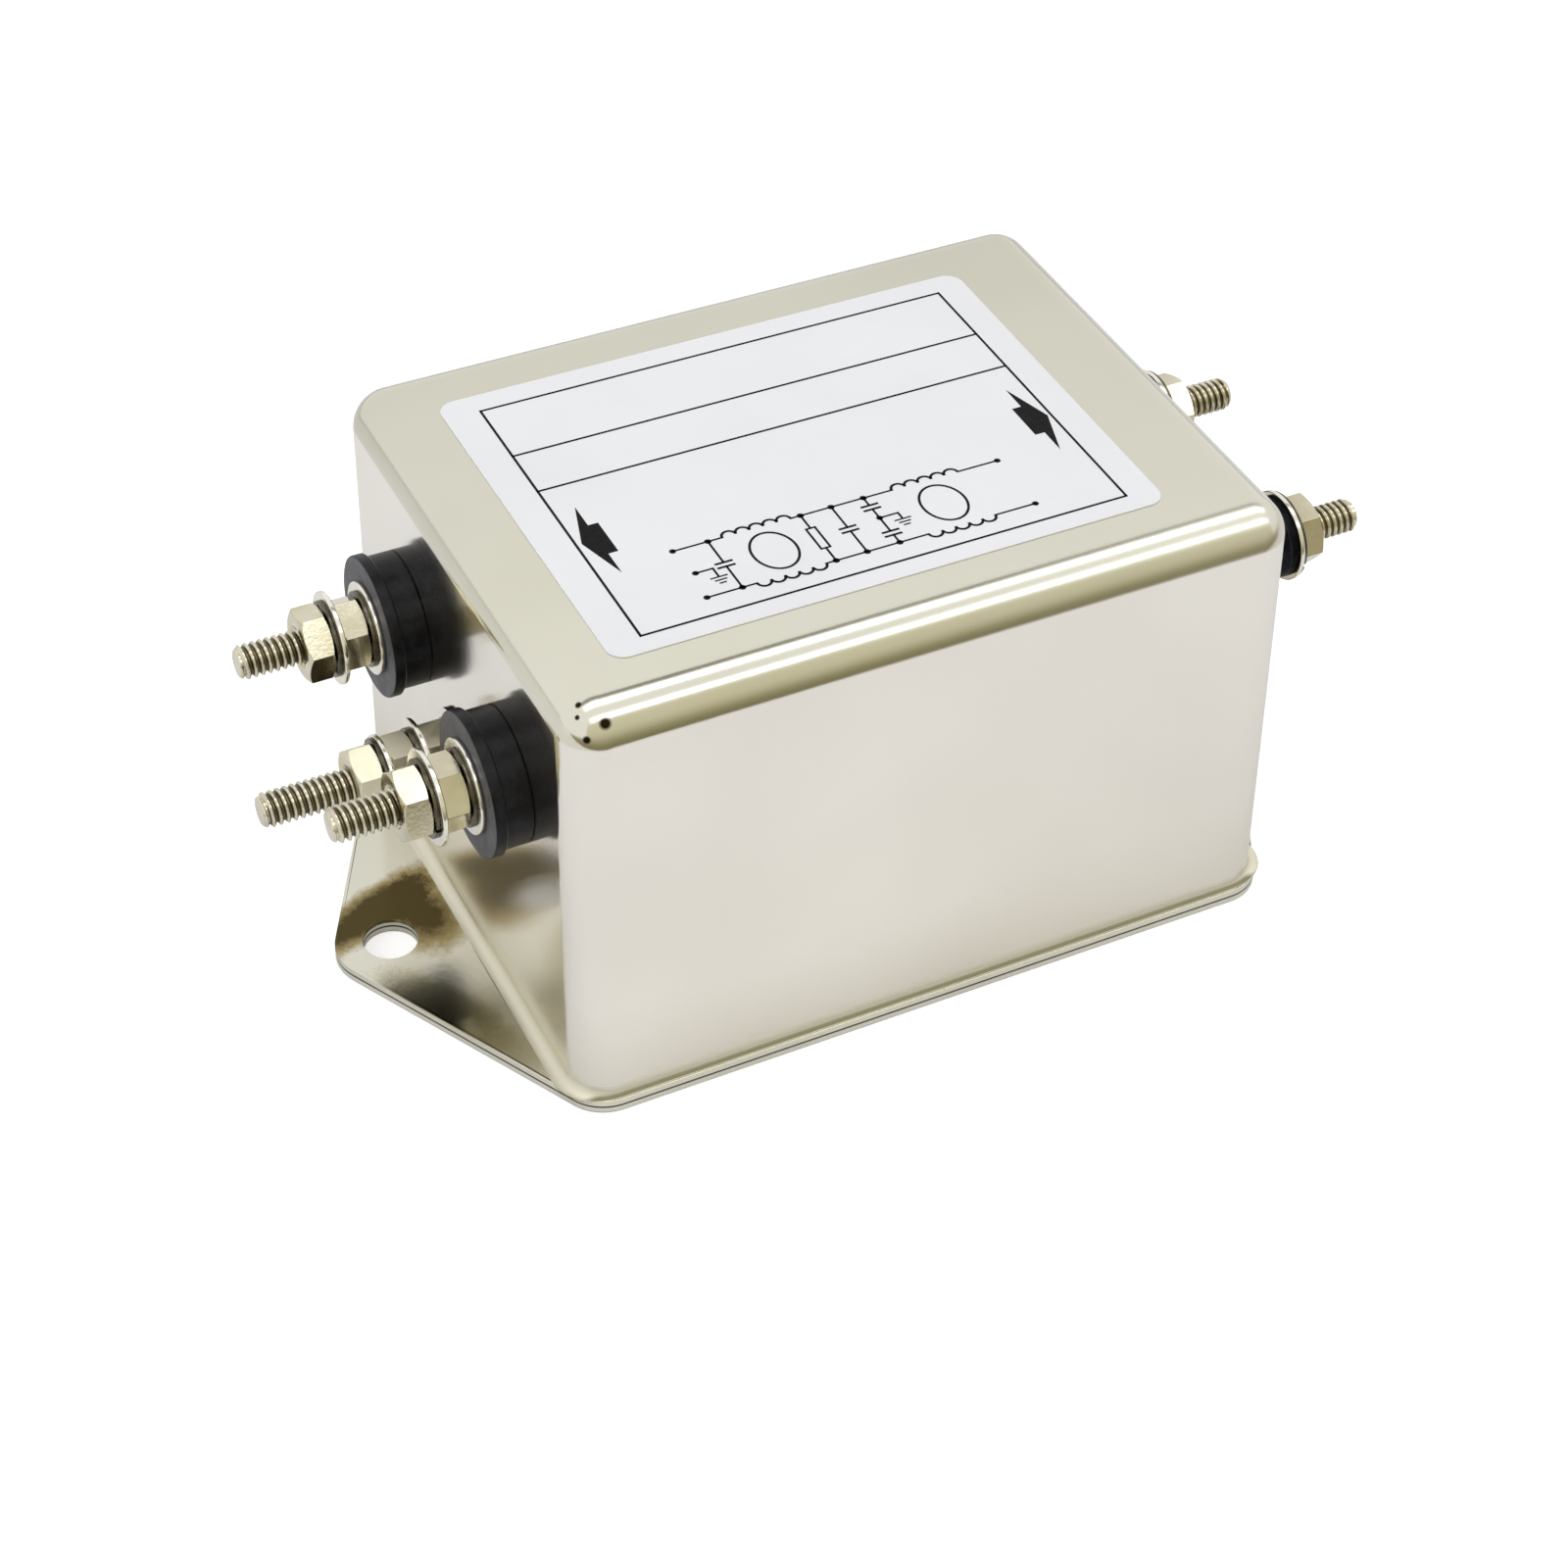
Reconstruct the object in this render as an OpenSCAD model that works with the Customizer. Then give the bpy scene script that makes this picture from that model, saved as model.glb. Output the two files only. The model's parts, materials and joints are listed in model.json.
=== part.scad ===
// Two-stage single-phase mains filter in a drawn steel can.
// X runs from the line end (-X) to the load end (+X), Z is up.
// The origin is midway between the two mounting holes, on the underside.

/* [Case] */
// Length of the can, end wall to end wall
case_len = 82; // [74:0.5:110]
// Width of the can
case_wid = 63.4; // [56:0.2:90]
// Height from the underside of the base plate to the top
case_hgt = 52.4; // [46:0.2:80]
// Thickness of the can's sheet
sheet = 0.8; // [0.6:0.1:1.2]
// Radius of the can's top edges and upright corners
case_r = 4.3; // [3:0.1:8]
// Air-side radius of the bend into the flange
bend_r = 0.6; // [0.3:0.1:1.5]
// Width of the flat lip outside that bend
lip_flat = 0.2; // [0.1:0.1:2]

/* [Base and ears] */
// Thickness of the base plate
base_t = 0.8; // [0.6:0.1:2]
// Distance between the two mounting holes
hole_pitch = 100; // [98:0.5:140]
// Diameter of the mounting holes
hole_d = 5.9; // [4:0.1:7]
// Chamfer round the top of each mounting hole
hole_chamfer = 0.2; // [0.1:0.05:0.4]
// Radius of the rounded end of each ear
ear_r = 6; // [5:0.1:9]

/* [Label] */
// Length of the sticker
label_len = 60.8; // [40:0.2:64]
// Width of the sticker
label_wid = 45.8; // [30:0.2:48]
// Corner radius of the sticker
label_r = 4; // [1:0.5:6]
// Thickness of the sticker
label_t = 0.15; // [0.1:0.05:0.3]
// Shift of the sticker towards the line end
label_shift = 1.9; // [0:0.1:2]

/* [Terminals] */
// Distance between the two line terminals
line_pitch = 28.2; // [24:0.2:36]
// Distance between the two load terminals
load_pitch = 26.4; // [24:0.2:36]
// Shift of the load terminals towards the back
load_shift = 0.2; // [0:0.1:1]
// Height of the line and load terminals above the underside
terminal_z = 33; // [30:0.5:38]
// Height of the earth terminal above the underside
earth_z = 24.8; // [22:0.2:28]
// Reach of the line studs beyond the end wall
line_reach = 19; // [17:0.5:26]
// Reach of the back load stud beyond the end wall
load_reach_back = 19.6; // [18:0.2:26]
// Reach of the front load stud beyond the end wall
load_reach_front = 20; // [19:0.2:26]
// Reach of the earth stud beyond the end wall
earth_reach = 22; // [18:0.5:28]
// Outer diameter of the stud thread
stud_d = 3.9; // [3.5:0.1:4.5]
// How much thinner the shank is than the thread rolled on it
shank_relief = 0.4; // [0.2:0.05:0.6]

/* [Bushings] */
// Diameter of a bushing's body
bush_d = 14.7; // [12:0.1:17]
// Diameter of the rim on the body
rim_d = 15.7; // [12.4:0.1:18]
// Height of the body and its rim
bush_h = 4.3; // [3:0.1:8]
// Thickness of the rim
rim_h = 1.3; // [0.8:0.1:2]
// Diameter of the neck on the load bushings
neck_d = 10; // [8:0.1:12]
// Height of the back load bushing's neck
neck_back_h = 5.1; // [2:0.1:6]
// Height of the front load bushing's neck
neck_front_h = 6; // [2:0.1:7]
// Diameter of the spigot that passes the end wall
spigot_d = 9; // [7:0.1:11]
// Thickness of the insulating washer inside the wall
inner_ring_h = 2; // [1:0.1:3]

/* [Nuts and washers] */
// Size of the nuts across their corners
nut_e = 8.3; // [7.6:0.1:9]
// Thickness of a nut
nut_h = 3; // [2.2:0.1:3.4]
// Thickness of the nut against the earth wall
earth_nut_h = 3.3; // [2.4:0.1:4]
// Diameter of the large flat washers
washer_d = 10.3; // [9:0.1:11]
// Diameter of the small flat washer
small_washer_d = 9; // [8:0.1:10]
// Thickness of a flat washer
washer_t = 0.55; // [0.4:0.05:1]
// Outer diameter of a spring washer
spring_d = 8.4; // [7:0.1:9]
// Thickness of a spring washer
spring_t = 0.4; // [0.3:0.05:0.9]
// Gap at the split of a spring washer
split_gap = 0.5; // [0.3:0.05:0.8]

/* [Chokes] */
// Outer diameter of a ferrite core
core_od = 30; // [26:0.5:32]
// Inner diameter of a ferrite core
core_id = 17; // [15:0.5:19]
// Height of a ferrite core
core_h = 16; // [10:0.5:24]
// Diameter of the winding wire
wire_d = 1.2; // [0.8:0.1:1.4]
// Turns in each winding
turns = 9; // [6:1:11]
// Distance between the two chokes' centres
choke_pitch = 35; // [34.5:0.5:38]

/* [Circuit] */
// Depth of the potting compound on the base plate
potting_h = 7.2; // [4:0.2:10]
// Thickness of the circuit board
board_t = 1.6; // [1:0.1:2.4]
// Length of an X capacitor
xcap_len = 26; // [18:0.5:31]
// Thickness of an X capacitor
xcap_wid = 9; // [6:0.5:10]
// Height of an X capacitor
xcap_hgt = 18; // [10:0.5:24]
// Diameter of a Y capacitor
ycap_d = 9; // [6:0.5:12]
// Thickness of a Y capacitor
ycap_t = 4; // [3:0.5:6]
// Length of the bleed resistor's body
res_len = 9; // [6:0.5:12]
// Diameter of the bleed resistor's body
res_d = 3.4; // [2:0.2:5]
// Diameter of the insulated leads to the terminals
lead_d = 2.4; // [1.6:0.1:3]

/* [Hidden] */
$fn = 48;

// Which end and which side of the can a terminal is on
LINE = -1;
LOAD = 1;
BACK = 1;
FRONT = -1;

// Clearances between pieces that slide together
stud_gap = 0.05;
wall_gap = 0.15;

// The can's lip and the levels of the sheets
lip = bend_r + lip_flat;
flange_z = base_t;
bend_h = sheet + bend_r;
wall_z = flange_z + bend_h;
corner_x = case_len / 2 - case_r;
corner_y = case_wid / 2 - case_r;

// Levels along a stud, measured outwards from the end wall
washers_t = washer_t + spring_t;
line_seat_1 = bush_h;
line_seat_2 = line_seat_1 + washers_t + nut_h;
earth_seat_1 = washers_t + earth_nut_h;
earth_seat_2 = earth_seat_1 + washers_t + nut_h;

// Where the free thread of each stud starts, just clear of its last nut
nut_gap = 0.1;
line_free = line_seat_2 + washers_t + nut_h + nut_gap;
earth_free = earth_seat_2 + washers_t + nut_h + nut_gap;

// Inside the end wall, measured inwards from its outer face
ring_end = sheet + inner_ring_h;
lug_t = 0.8;
lug_d = 8;
lug_tongue = 7;
lug_tongue_w = 4;
head_h = 2.8;
head_e = 8;
tip_chamfer = 0.4;

// The circuit board and what stands on it
board_z = base_t + potting_h;
board_top = board_z + board_t;
board_gap = 0.6;
strip_y = (case_wid / 2 - sheet + core_od / 2) / 2 + wire_d / 2;
core_chamfer = 1;
wire_gap = 0.05;
wire_sides = 6;
corner_steps = 2;
winding_angle = 140;
coil_bottom = board_top + wire_d / 2;
core_z = coil_bottom + wire_d / 2 + wire_gap;
ycap_spread = 11;
ycap_lift = 2;
pin_d = 0.8;
res_lift = 0.6;

// How each hexagon is turned about its stud
LINE_TURNS_BACK = [0, 43];
LINE_TURNS_FRONT = [32, 10];
LOAD_TURNS = [12, 39];
EARTH_TURNS = [30, 30, 10];

// ---- Outlines -------------------------------------------------------------

// Rectangle with rounded corners, centred
module rounded_plate(len, wid, r) {
    square([len - 2 * r, wid], center = true);
    square([len, wid - 2 * r], center = true);
    for (sx = [-1, 1], sy = [-1, 1])
        translate([sx * (len / 2 - r), sy * (wid / 2 - r)]) circle(r);
}

// Upright profile with only its two top corners rounded, standing on y = 0
module arch_profile(wid, hgt, r) {
    translate([-wid / 2, 0]) square([wid, hgt - r]);
    translate([r - wid / 2, 0]) square([wid - 2 * r, hgt]);
    for (side = [-1, 1])
        translate([side * (wid / 2 - r), hgt - r]) circle(r);
}

// Direction of the line that touches the ear's tip circle and the lip's corner circle,
// drawn a hair inside both so that the straight edge crosses them
edge_inset = 0.01;
ear_span = [hole_pitch / 2 - corner_x, -corner_y];
ear_normal = atan2(ear_span[1], ear_span[0]) + acos((case_r + lip - ear_r) / norm(ear_span));
ear_n = [cos(ear_normal), sin(ear_normal)];

// Outline of the flange with its two tapered ears
module flange_outline() {
    lip_r = case_r + lip;
    tip_r = ear_r - edge_inset;
    root_r = lip_r - edge_inset;
    tip = [hole_pitch / 2 + tip_r * ear_n[0], tip_r * ear_n[1]];
    root = [corner_x + root_r * ear_n[0], corner_y + root_r * ear_n[1]];
    polygon([
        [tip[0], -tip[1]], tip, root, [-root[0], root[1]],
        [-tip[0], tip[1]], [-tip[0], -tip[1]], [-root[0], -root[1]], [root[0], -root[1]]
    ]);
    square([2 * corner_x, case_wid + 2 * lip], center = true);
    for (sx = [-1, 1], sy = [-1, 1]) translate([sx * corner_x, sy * corner_y]) circle(lip_r);
    for (end = [LINE, LOAD]) translate([end * hole_pitch / 2, 0]) circle(ear_r);
}

// ---- Can ------------------------------------------------------------------

// Solid block with rounded upright corners and top edges
module can_block(len, wid, hgt, r) {
    intersection() {
        linear_extrude(hgt) rounded_plate(len, wid, r);
        rotate([90, 0, 0]) linear_extrude(wid + 2, center = true) arch_profile(len, hgt, r);
        rotate([90, 0, 90]) linear_extrude(len + 2, center = true) arch_profile(wid, hgt, r);
    }
}

// Section of the bend from the wall into the flange, x measured from the wall's face
module bend_section() {
    intersection() {
        translate([-sheet, 0]) square([sheet + bend_r, bend_h]);
        translate([bend_r, bend_h]) difference() {
            circle(bend_r + sheet);
            circle(bend_r);
        }
    }
}

// The bend carried round the foot of the can
module bend_ring() {
    for (side = [-1, 1]) {
        rotate([90, 0, side * 90]) translate([0, 0, -corner_x])
            translate([case_wid / 2, 0, 0]) linear_extrude(2 * corner_x) bend_section();
        rotate([90, 0, side * 90 - 90]) translate([0, 0, -corner_y])
            translate([case_len / 2, 0, 0]) linear_extrude(2 * corner_y) bend_section();
    }
    for (k = [0:3])
        translate([(k == 0 || k == 3 ? 1 : -1) * corner_x, (k < 2 ? 1 : -1) * corner_y, 0])
            rotate(k * 90) rotate_extrude(angle = 90) translate([case_r, 0]) bend_section();
}

// Hole for a stud or a bushing's spigot through one end wall
module wall_hole(end, y, z, d) {
    translate([end * (case_len / 2 - sheet / 2), y, z]) rotate([0, 90, 0])
        cylinder(d = d, h = 3 * sheet, center = true);
}

module mounting_holes(z0, h) {
    for (end = [LINE, LOAD])
        translate([end * hole_pitch / 2, 0, z0]) cylinder(d = hole_d, h = h);
}

module case() {
    color([0.84, 0.82, 0.76]) difference() {
        union() {
            difference() {
                can_block(case_len, case_wid, case_hgt, case_r);
                can_block(case_len - 2 * sheet, case_wid - 2 * sheet,
                          case_hgt - sheet, case_r - sheet);
                translate([-case_len, -case_wid, -1]) cube([2 * case_len, 2 * case_wid, wall_z + 1]);
            }
            translate([0, 0, flange_z]) bend_ring();
            translate([0, 0, flange_z]) linear_extrude(sheet) difference() {
                flange_outline();
                rounded_plate(case_len + 2 * bend_r, case_wid + 2 * bend_r, case_r + bend_r);
            }
        }
        mounting_holes(flange_z - 1, sheet + 2);
        for (end = [LINE, LOAD])
            translate([end * hole_pitch / 2, 0, flange_z + sheet - hole_chamfer])
                cylinder(d1 = hole_d, d2 = hole_d + 4 * hole_chamfer, h = 2 * hole_chamfer);
        for (side = [BACK, FRONT]) {
            wall_hole(LINE, side * line_pitch / 2, terminal_z, spigot_d + 2 * wall_gap);
            wall_hole(LOAD, load_y(side), terminal_z, spigot_d + 2 * wall_gap);
        }
        wall_hole(LINE, 0, earth_z, stud_d + 2 * wall_gap);
    }
}

module base_plate() {
    color([0.80, 0.78, 0.72]) difference() {
        linear_extrude(base_t) flange_outline();
        mounting_holes(-1, base_t + 2);
    }
}

module label() {
    color([0.95, 0.95, 0.96]) translate([-label_shift, 0, case_hgt])
        linear_extrude(label_t) rounded_plate(label_len, label_wid, label_r);
}

// ---- Terminals ------------------------------------------------------------

// Places of a load terminal, back or front
function load_y(side) = load_shift + side * load_pitch / 2;
function load_seat(side) = bush_h + (side == BACK ? neck_back_h : neck_front_h);
function load_free(side) = load_seat(side) + washers_t + nut_h + nut_gap;

// Puts what stands on z = 0 on an end wall, pointing outwards
module on_wall(end, y, z) {
    translate([end * case_len / 2, y, z]) rotate([0, end * 90, 0]) children();
}

module at_line(side) {
    on_wall(LINE, side * line_pitch / 2, terminal_z) children();
}

module at_load(side) {
    on_wall(LOAD, load_y(side), terminal_z) children();
}

module at_earth() {
    on_wall(LINE, 0, earth_z) children();
}

// Moulded bushing: spigot through the wall, body, rim and a neck where there is one
module bushing(neck) {
    color([0.09, 0.09, 0.10]) difference() {
        union() {
            translate([0, 0, -sheet]) cylinder(d = spigot_d, h = sheet + bush_h);
            cylinder(d = bush_d, h = bush_h);
            translate([0, 0, bush_h - rim_h]) cylinder(d = rim_d, h = rim_h);
            if (neck > 0)
                translate([0, 0, bush_h - rim_h]) cylinder(d = neck_d, h = rim_h + neck);
        }
        translate([0, 0, -sheet - 1]) cylinder(d = stud_d + 2 * stud_gap, h = sheet + bush_h + neck + 2);
    }
}

// Screw with its head inside the can, head_z inwards of the wall's face, and its thread free
// of the nuts from free_z on
module stud(reach, head_z, free_z) {
    color([0.78, 0.75, 0.66]) {
        translate([0, 0, -head_z]) cylinder(d = stud_d - shank_relief, h = head_z + free_z);
        translate([0, 0, free_z]) cylinder(d = stud_d, h = reach - tip_chamfer - free_z);
        translate([0, 0, reach - tip_chamfer])
            cylinder(d1 = stud_d, d2 = stud_d - 2 * tip_chamfer, h = tip_chamfer);
        translate([0, 0, -head_z - head_h]) cylinder(d = head_e, h = head_h, $fn = 6);
    }
}

// Hexagon nut with both faces chamfered at the corners
module nut(z, h, turn) {
    flat_d = nut_e * cos(30);
    drop = (nut_e - flat_d) / 2 * tan(30);
    color([0.80, 0.77, 0.68]) translate([0, 0, z]) rotate(turn) difference() {
        intersection() {
            cylinder(d = nut_e, h = h, $fn = 6);
            rotate_extrude() polygon([
                [0, 0], [flat_d / 2, 0], [nut_e / 2, drop],
                [nut_e / 2, h - drop], [flat_d / 2, h], [0, h]
            ]);
        }
        translate([0, 0, -1]) cylinder(d = stud_d + 2 * stud_gap, h = h + 2);
    }
}

module flat_washer(z, d) {
    color([0.84, 0.82, 0.74]) translate([0, 0, z]) difference() {
        cylinder(d = d, h = washer_t);
        translate([0, 0, -1]) cylinder(d = stud_d + 2 * stud_gap, h = washer_t + 2);
    }
}

// Spring washer pressed flat, with its split
module spring_washer(z) {
    color([0.72, 0.69, 0.60]) translate([0, 0, z]) difference() {
        cylinder(d = spring_d, h = spring_t);
        translate([0, 0, -1]) cylinder(d = stud_d + 2 * stud_gap, h = spring_t + 2);
        translate([0, -split_gap / 2, -1]) cube([spring_d, split_gap, spring_t + 2]);
    }
}

module inner_ring() {
    color([0.12, 0.12, 0.13]) translate([0, 0, -ring_end]) difference() {
        cylinder(d = bush_d, h = inner_ring_h);
        translate([0, 0, -1]) cylinder(d = stud_d + 2 * stud_gap, h = inner_ring_h + 2);
    }
}

// Ring lug under a stud's head, its tongue pointing down
module lug(end, z) {
    color([0.76, 0.60, 0.38]) translate([0, 0, -z - lug_t]) difference() {
        union() {
            cylinder(d = lug_d, h = lug_t);
            translate([end > 0 ? 0 : -lug_d / 2 - lug_tongue, -lug_tongue_w / 2, 0])
                cube([lug_d / 2 + lug_tongue, lug_tongue_w, lug_t]);
        }
        translate([0, 0, -1]) cylinder(d = stud_d + 2 * stud_gap, h = lug_t + 2);
    }
}

// Insulated lead soldered to a lug's tongue and standing on the board
module lead(end, y, stud_z, lug_z) {
    top = stud_z - lug_d / 2 - 2;
    color([0.20, 0.22, 0.26])
        translate([end * (case_len / 2 - lug_z - lug_t - lead_d / 2), y, board_top])
            cylinder(d = lead_d, h = top - board_top);
}

// ---- Inside ---------------------------------------------------------------

module potting() {
    color([0.16, 0.15, 0.14]) intersection() {
        translate([-case_len, -case_wid, base_t]) cube([2 * case_len, 2 * case_wid, potting_h]);
        linear_extrude(case_hgt)
            rounded_plate(case_len - 2 * sheet, case_wid - 2 * sheet, case_r - sheet);
    }
}

module circuit_board() {
    color([0.62, 0.52, 0.30]) translate([0, 0, board_z]) linear_extrude(board_t)
        rounded_plate(case_len - 2 * sheet - 2 * board_gap,
                      case_wid - 2 * sheet - 2 * board_gap, case_r - sheet);
}

module at_choke(number) {
    translate([(number == 1 ? -1 : 1) * choke_pitch / 2, 0, 0]) children();
}

module core() {
    ri = core_id / 2;
    ro = core_od / 2;
    c = core_chamfer;
    color([0.20, 0.21, 0.22]) translate([0, 0, core_z]) rotate_extrude() polygon([
        [ri + c, 0], [ro - c, 0], [ro, c], [ro, core_h - c],
        [ro - c, core_h], [ri + c, core_h], [ri, core_h - c], [ri, c]
    ]);
}

// Half width and half height of the loop that the wire's centre makes round the core
loop_a = (core_od - core_id) / 4 + wire_d / 2 + wire_gap;
loop_b = core_h / 2 + wire_d / 2 + wire_gap;
loop_r = core_chamfer + wire_d / 2;

// Point s of the loop, [outwards, up] from the middle of the core's section
function loop_point(s) =
    let (k = floor(s / (corner_steps + 1)), j = s - k * (corner_steps + 1),
         sx = (k == 0 || k == 3) ? 1 : -1, sy = k < 2 ? 1 : -1,
         a = k * 90 + 90 * j / corner_steps)
    [sx * (loop_a - loop_r) + loop_r * cos(a), sy * (loop_b - loop_r) + loop_r * sin(a)];

loop_steps = 4 * (corner_steps + 1);

// Centre line of one winding, starting and ending on the board
function winding_path(start) =
    let (n = turns * loop_steps, first = loop_steps - 1, mid = (core_od + core_id) / 4,
         at = function (i)
             let (p = loop_point((first + i) % loop_steps), a = start + winding_angle * i / n)
             [(mid + p[0]) * cos(a), (mid + p[0]) * sin(a), core_z + core_h / 2 + p[1]])
    [for (i = [0:n]) at(i)];

// Tube of wire_sides sides along a list of points, with flat ends
module wire_tube(path) {
    n = len(path);
    function dir(i) =
        let (v = path[min(i + 1, n - 1)] - path[max(i - 1, 0)]) v / norm(v);
    function radial(i) = let (v = [path[i][0], path[i][1], 0]) v / norm(v);
    function side(i) = let (v = cross(dir(i), cross(radial(i), [0, 0, 1]))) v / norm(v);
    function ring(i) =
        let (u = side(i), w = cross(dir(i), u))
        [for (k = [0:wire_sides - 1])
            path[i] + wire_d / 2 * (cos(360 * k / wire_sides) * u + sin(360 * k / wire_sides) * w)];
    points = [for (i = [0:n - 1]) each ring(i)];
    sides = [for (i = [0:n - 2], k = [0:wire_sides - 1])
        let (a = i * wire_sides + k, b = i * wire_sides + (k + 1) % wire_sides)
        [a, b, b + wire_sides, a + wire_sides]];
    caps = [[for (k = [wire_sides - 1:-1:0]) k],
            [for (k = [0:wire_sides - 1]) (n - 1) * wire_sides + k]];
    polyhedron(points, concat(sides, caps), convexity = 10);
}

module winding(start) {
    color([0.72, 0.42, 0.22]) wire_tube(winding_path(start));
}

module x_capacitor(number) {
    color([0.86, 0.74, 0.20])
        translate([(number == 1 ? -1 : 1) * choke_pitch / 2 - xcap_len / 2, strip_y - xcap_wid / 2, board_top])
            cube([xcap_len, xcap_wid, xcap_hgt]);
}

// Ceramic disc standing on two pins
module y_capacitor(number) {
    color([0.16, 0.38, 0.66])
        translate([choke_pitch / 2 + (number == 1 ? -1 : 1) * ycap_spread / 2, -strip_y, board_top]) {
            translate([0, 0, ycap_lift + ycap_d / 2]) rotate([90, 0, 0])
                cylinder(d = ycap_d, h = ycap_t, center = true);
            for (side = [-1, 1])
                translate([side * ycap_d / 4, 0, 0]) cylinder(d = pin_d, h = ycap_lift + ycap_d / 2);
        }
}

// Axial resistor with its wires bent down to the board
module bleed_resistor() {
    z = board_top + res_lift + res_d / 2;
    reach = res_len / 2 + res_d / 2;
    color([0.55, 0.66, 0.72]) translate([-choke_pitch / 2, -strip_y, 0]) {
        translate([0, 0, z]) rotate([0, 90, 0]) cylinder(d = res_d, h = res_len, center = true);
        translate([0, 0, z]) rotate([0, 90, 0]) cylinder(d = pin_d, h = 2 * reach, center = true);
        for (side = [-1, 1]) translate([side * reach, 0, 0]) {
            translate([0, 0, board_top]) cylinder(d = pin_d, h = z - board_top);
            translate([0, 0, z]) sphere(d = pin_d);
        }
    }
}

// ---- Nodes ----------------------------------------------------------------

case();
base_plate();
label();
at_line(BACK) bushing(0);  // line_bushing_back
at_line(FRONT) bushing(0);  // line_bushing_front
at_load(BACK) bushing(neck_back_h);  // load_bushing_back
at_load(FRONT) bushing(neck_front_h);  // load_bushing_front
at_line(BACK) stud(line_reach, ring_end + lug_t, line_free);  // line_stud_back
at_line(FRONT) stud(line_reach, ring_end + lug_t, line_free);  // line_stud_front
at_load(BACK) stud(load_reach_back, ring_end + lug_t, load_free(BACK));  // load_stud_back
at_load(FRONT) stud(load_reach_front, ring_end + lug_t, load_free(FRONT));  // load_stud_front
at_earth() stud(earth_reach, sheet + lug_t, earth_free);  // earth_stud
at_line(BACK) nut(line_seat_1 + washers_t, nut_h, LINE_TURNS_BACK[0]);  // line_inner_nut_back
at_line(FRONT) nut(line_seat_1 + washers_t, nut_h, LINE_TURNS_FRONT[0]);  // line_inner_nut_front
at_line(BACK) nut(line_seat_2 + washers_t, nut_h, LINE_TURNS_BACK[1]);  // line_outer_nut_back
at_line(FRONT) nut(line_seat_2 + washers_t, nut_h, LINE_TURNS_FRONT[1]);  // line_outer_nut_front
at_load(BACK) nut(load_seat(BACK) + washers_t, nut_h, LOAD_TURNS[0]);  // load_nut_back
at_load(FRONT) nut(load_seat(FRONT) + washers_t, nut_h, LOAD_TURNS[1]);  // load_nut_front
at_earth() nut(washers_t, earth_nut_h, EARTH_TURNS[0]);  // earth_wall_nut
at_earth() nut(earth_seat_1 + washers_t, nut_h, EARTH_TURNS[1]);  // earth_inner_nut
at_earth() nut(earth_seat_2 + washers_t, nut_h, EARTH_TURNS[2]);  // earth_outer_nut
for (side = [BACK, FRONT], z = [line_seat_1, line_seat_2]) at_line(side) flat_washer(z, washer_d);  // line_flat_washers
for (side = [BACK, FRONT], z = [line_seat_1, line_seat_2]) at_line(side) spring_washer(z + washer_t);  // line_spring_washers
for (side = [BACK, FRONT]) at_load(side) flat_washer(load_seat(side), washer_d);  // load_flat_washers
for (side = [BACK, FRONT]) at_load(side) spring_washer(load_seat(side) + washer_t);  // load_spring_washers
at_earth() {  // earth_flat_washers
    flat_washer(0, washer_d);
    flat_washer(earth_seat_1, washer_d);
    flat_washer(earth_seat_2, small_washer_d);
}
for (z = [0, earth_seat_1, earth_seat_2]) at_earth() spring_washer(z + washer_t);  // earth_spring_washers
for (side = [BACK, FRONT]) at_line(side) inner_ring();  // line_inner_rings
for (side = [BACK, FRONT]) at_load(side) inner_ring();  // load_inner_rings
for (side = [BACK, FRONT]) at_line(side) lug(LINE, ring_end);  // line_lugs
for (side = [BACK, FRONT]) at_load(side) lug(LOAD, ring_end);  // load_lugs
at_earth() lug(LINE, sheet);  // earth_lug
lead(LINE, line_pitch / 2, terminal_z, ring_end);  // line_lead_back
lead(LINE, -line_pitch / 2, terminal_z, ring_end);  // line_lead_front
lead(LOAD, load_y(BACK), terminal_z, ring_end);  // load_lead_back
lead(LOAD, load_y(FRONT), terminal_z, ring_end);  // load_lead_front
lead(LINE, 0, earth_z, sheet);  // earth_lead
potting();
circuit_board();
at_choke(1) core();  // choke_1_core
at_choke(1) winding(90 - winding_angle / 2);  // choke_1_live_winding
at_choke(1) winding(270 - winding_angle / 2);  // choke_1_neutral_winding
at_choke(2) core();  // choke_2_core
at_choke(2) winding(90 - winding_angle / 2);  // choke_2_live_winding
at_choke(2) winding(270 - winding_angle / 2);  // choke_2_neutral_winding
x_capacitor(1);  // x_capacitor_1
x_capacitor(2);  // x_capacitor_2
y_capacitor(1);  // y_capacitor_1
y_capacitor(2);  // y_capacitor_2
bleed_resistor();
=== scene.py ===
# %% [markdown]
# This lesson dresses a mains line filter: a drawn, nickel-plated can with a sticker on top,
# two black bushings on each end wall and five threaded studs with their nuts and washers.
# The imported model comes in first.

# %% Load the frame
import json
import math

import bpy
from mathutils import Matrix, Vector


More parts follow.
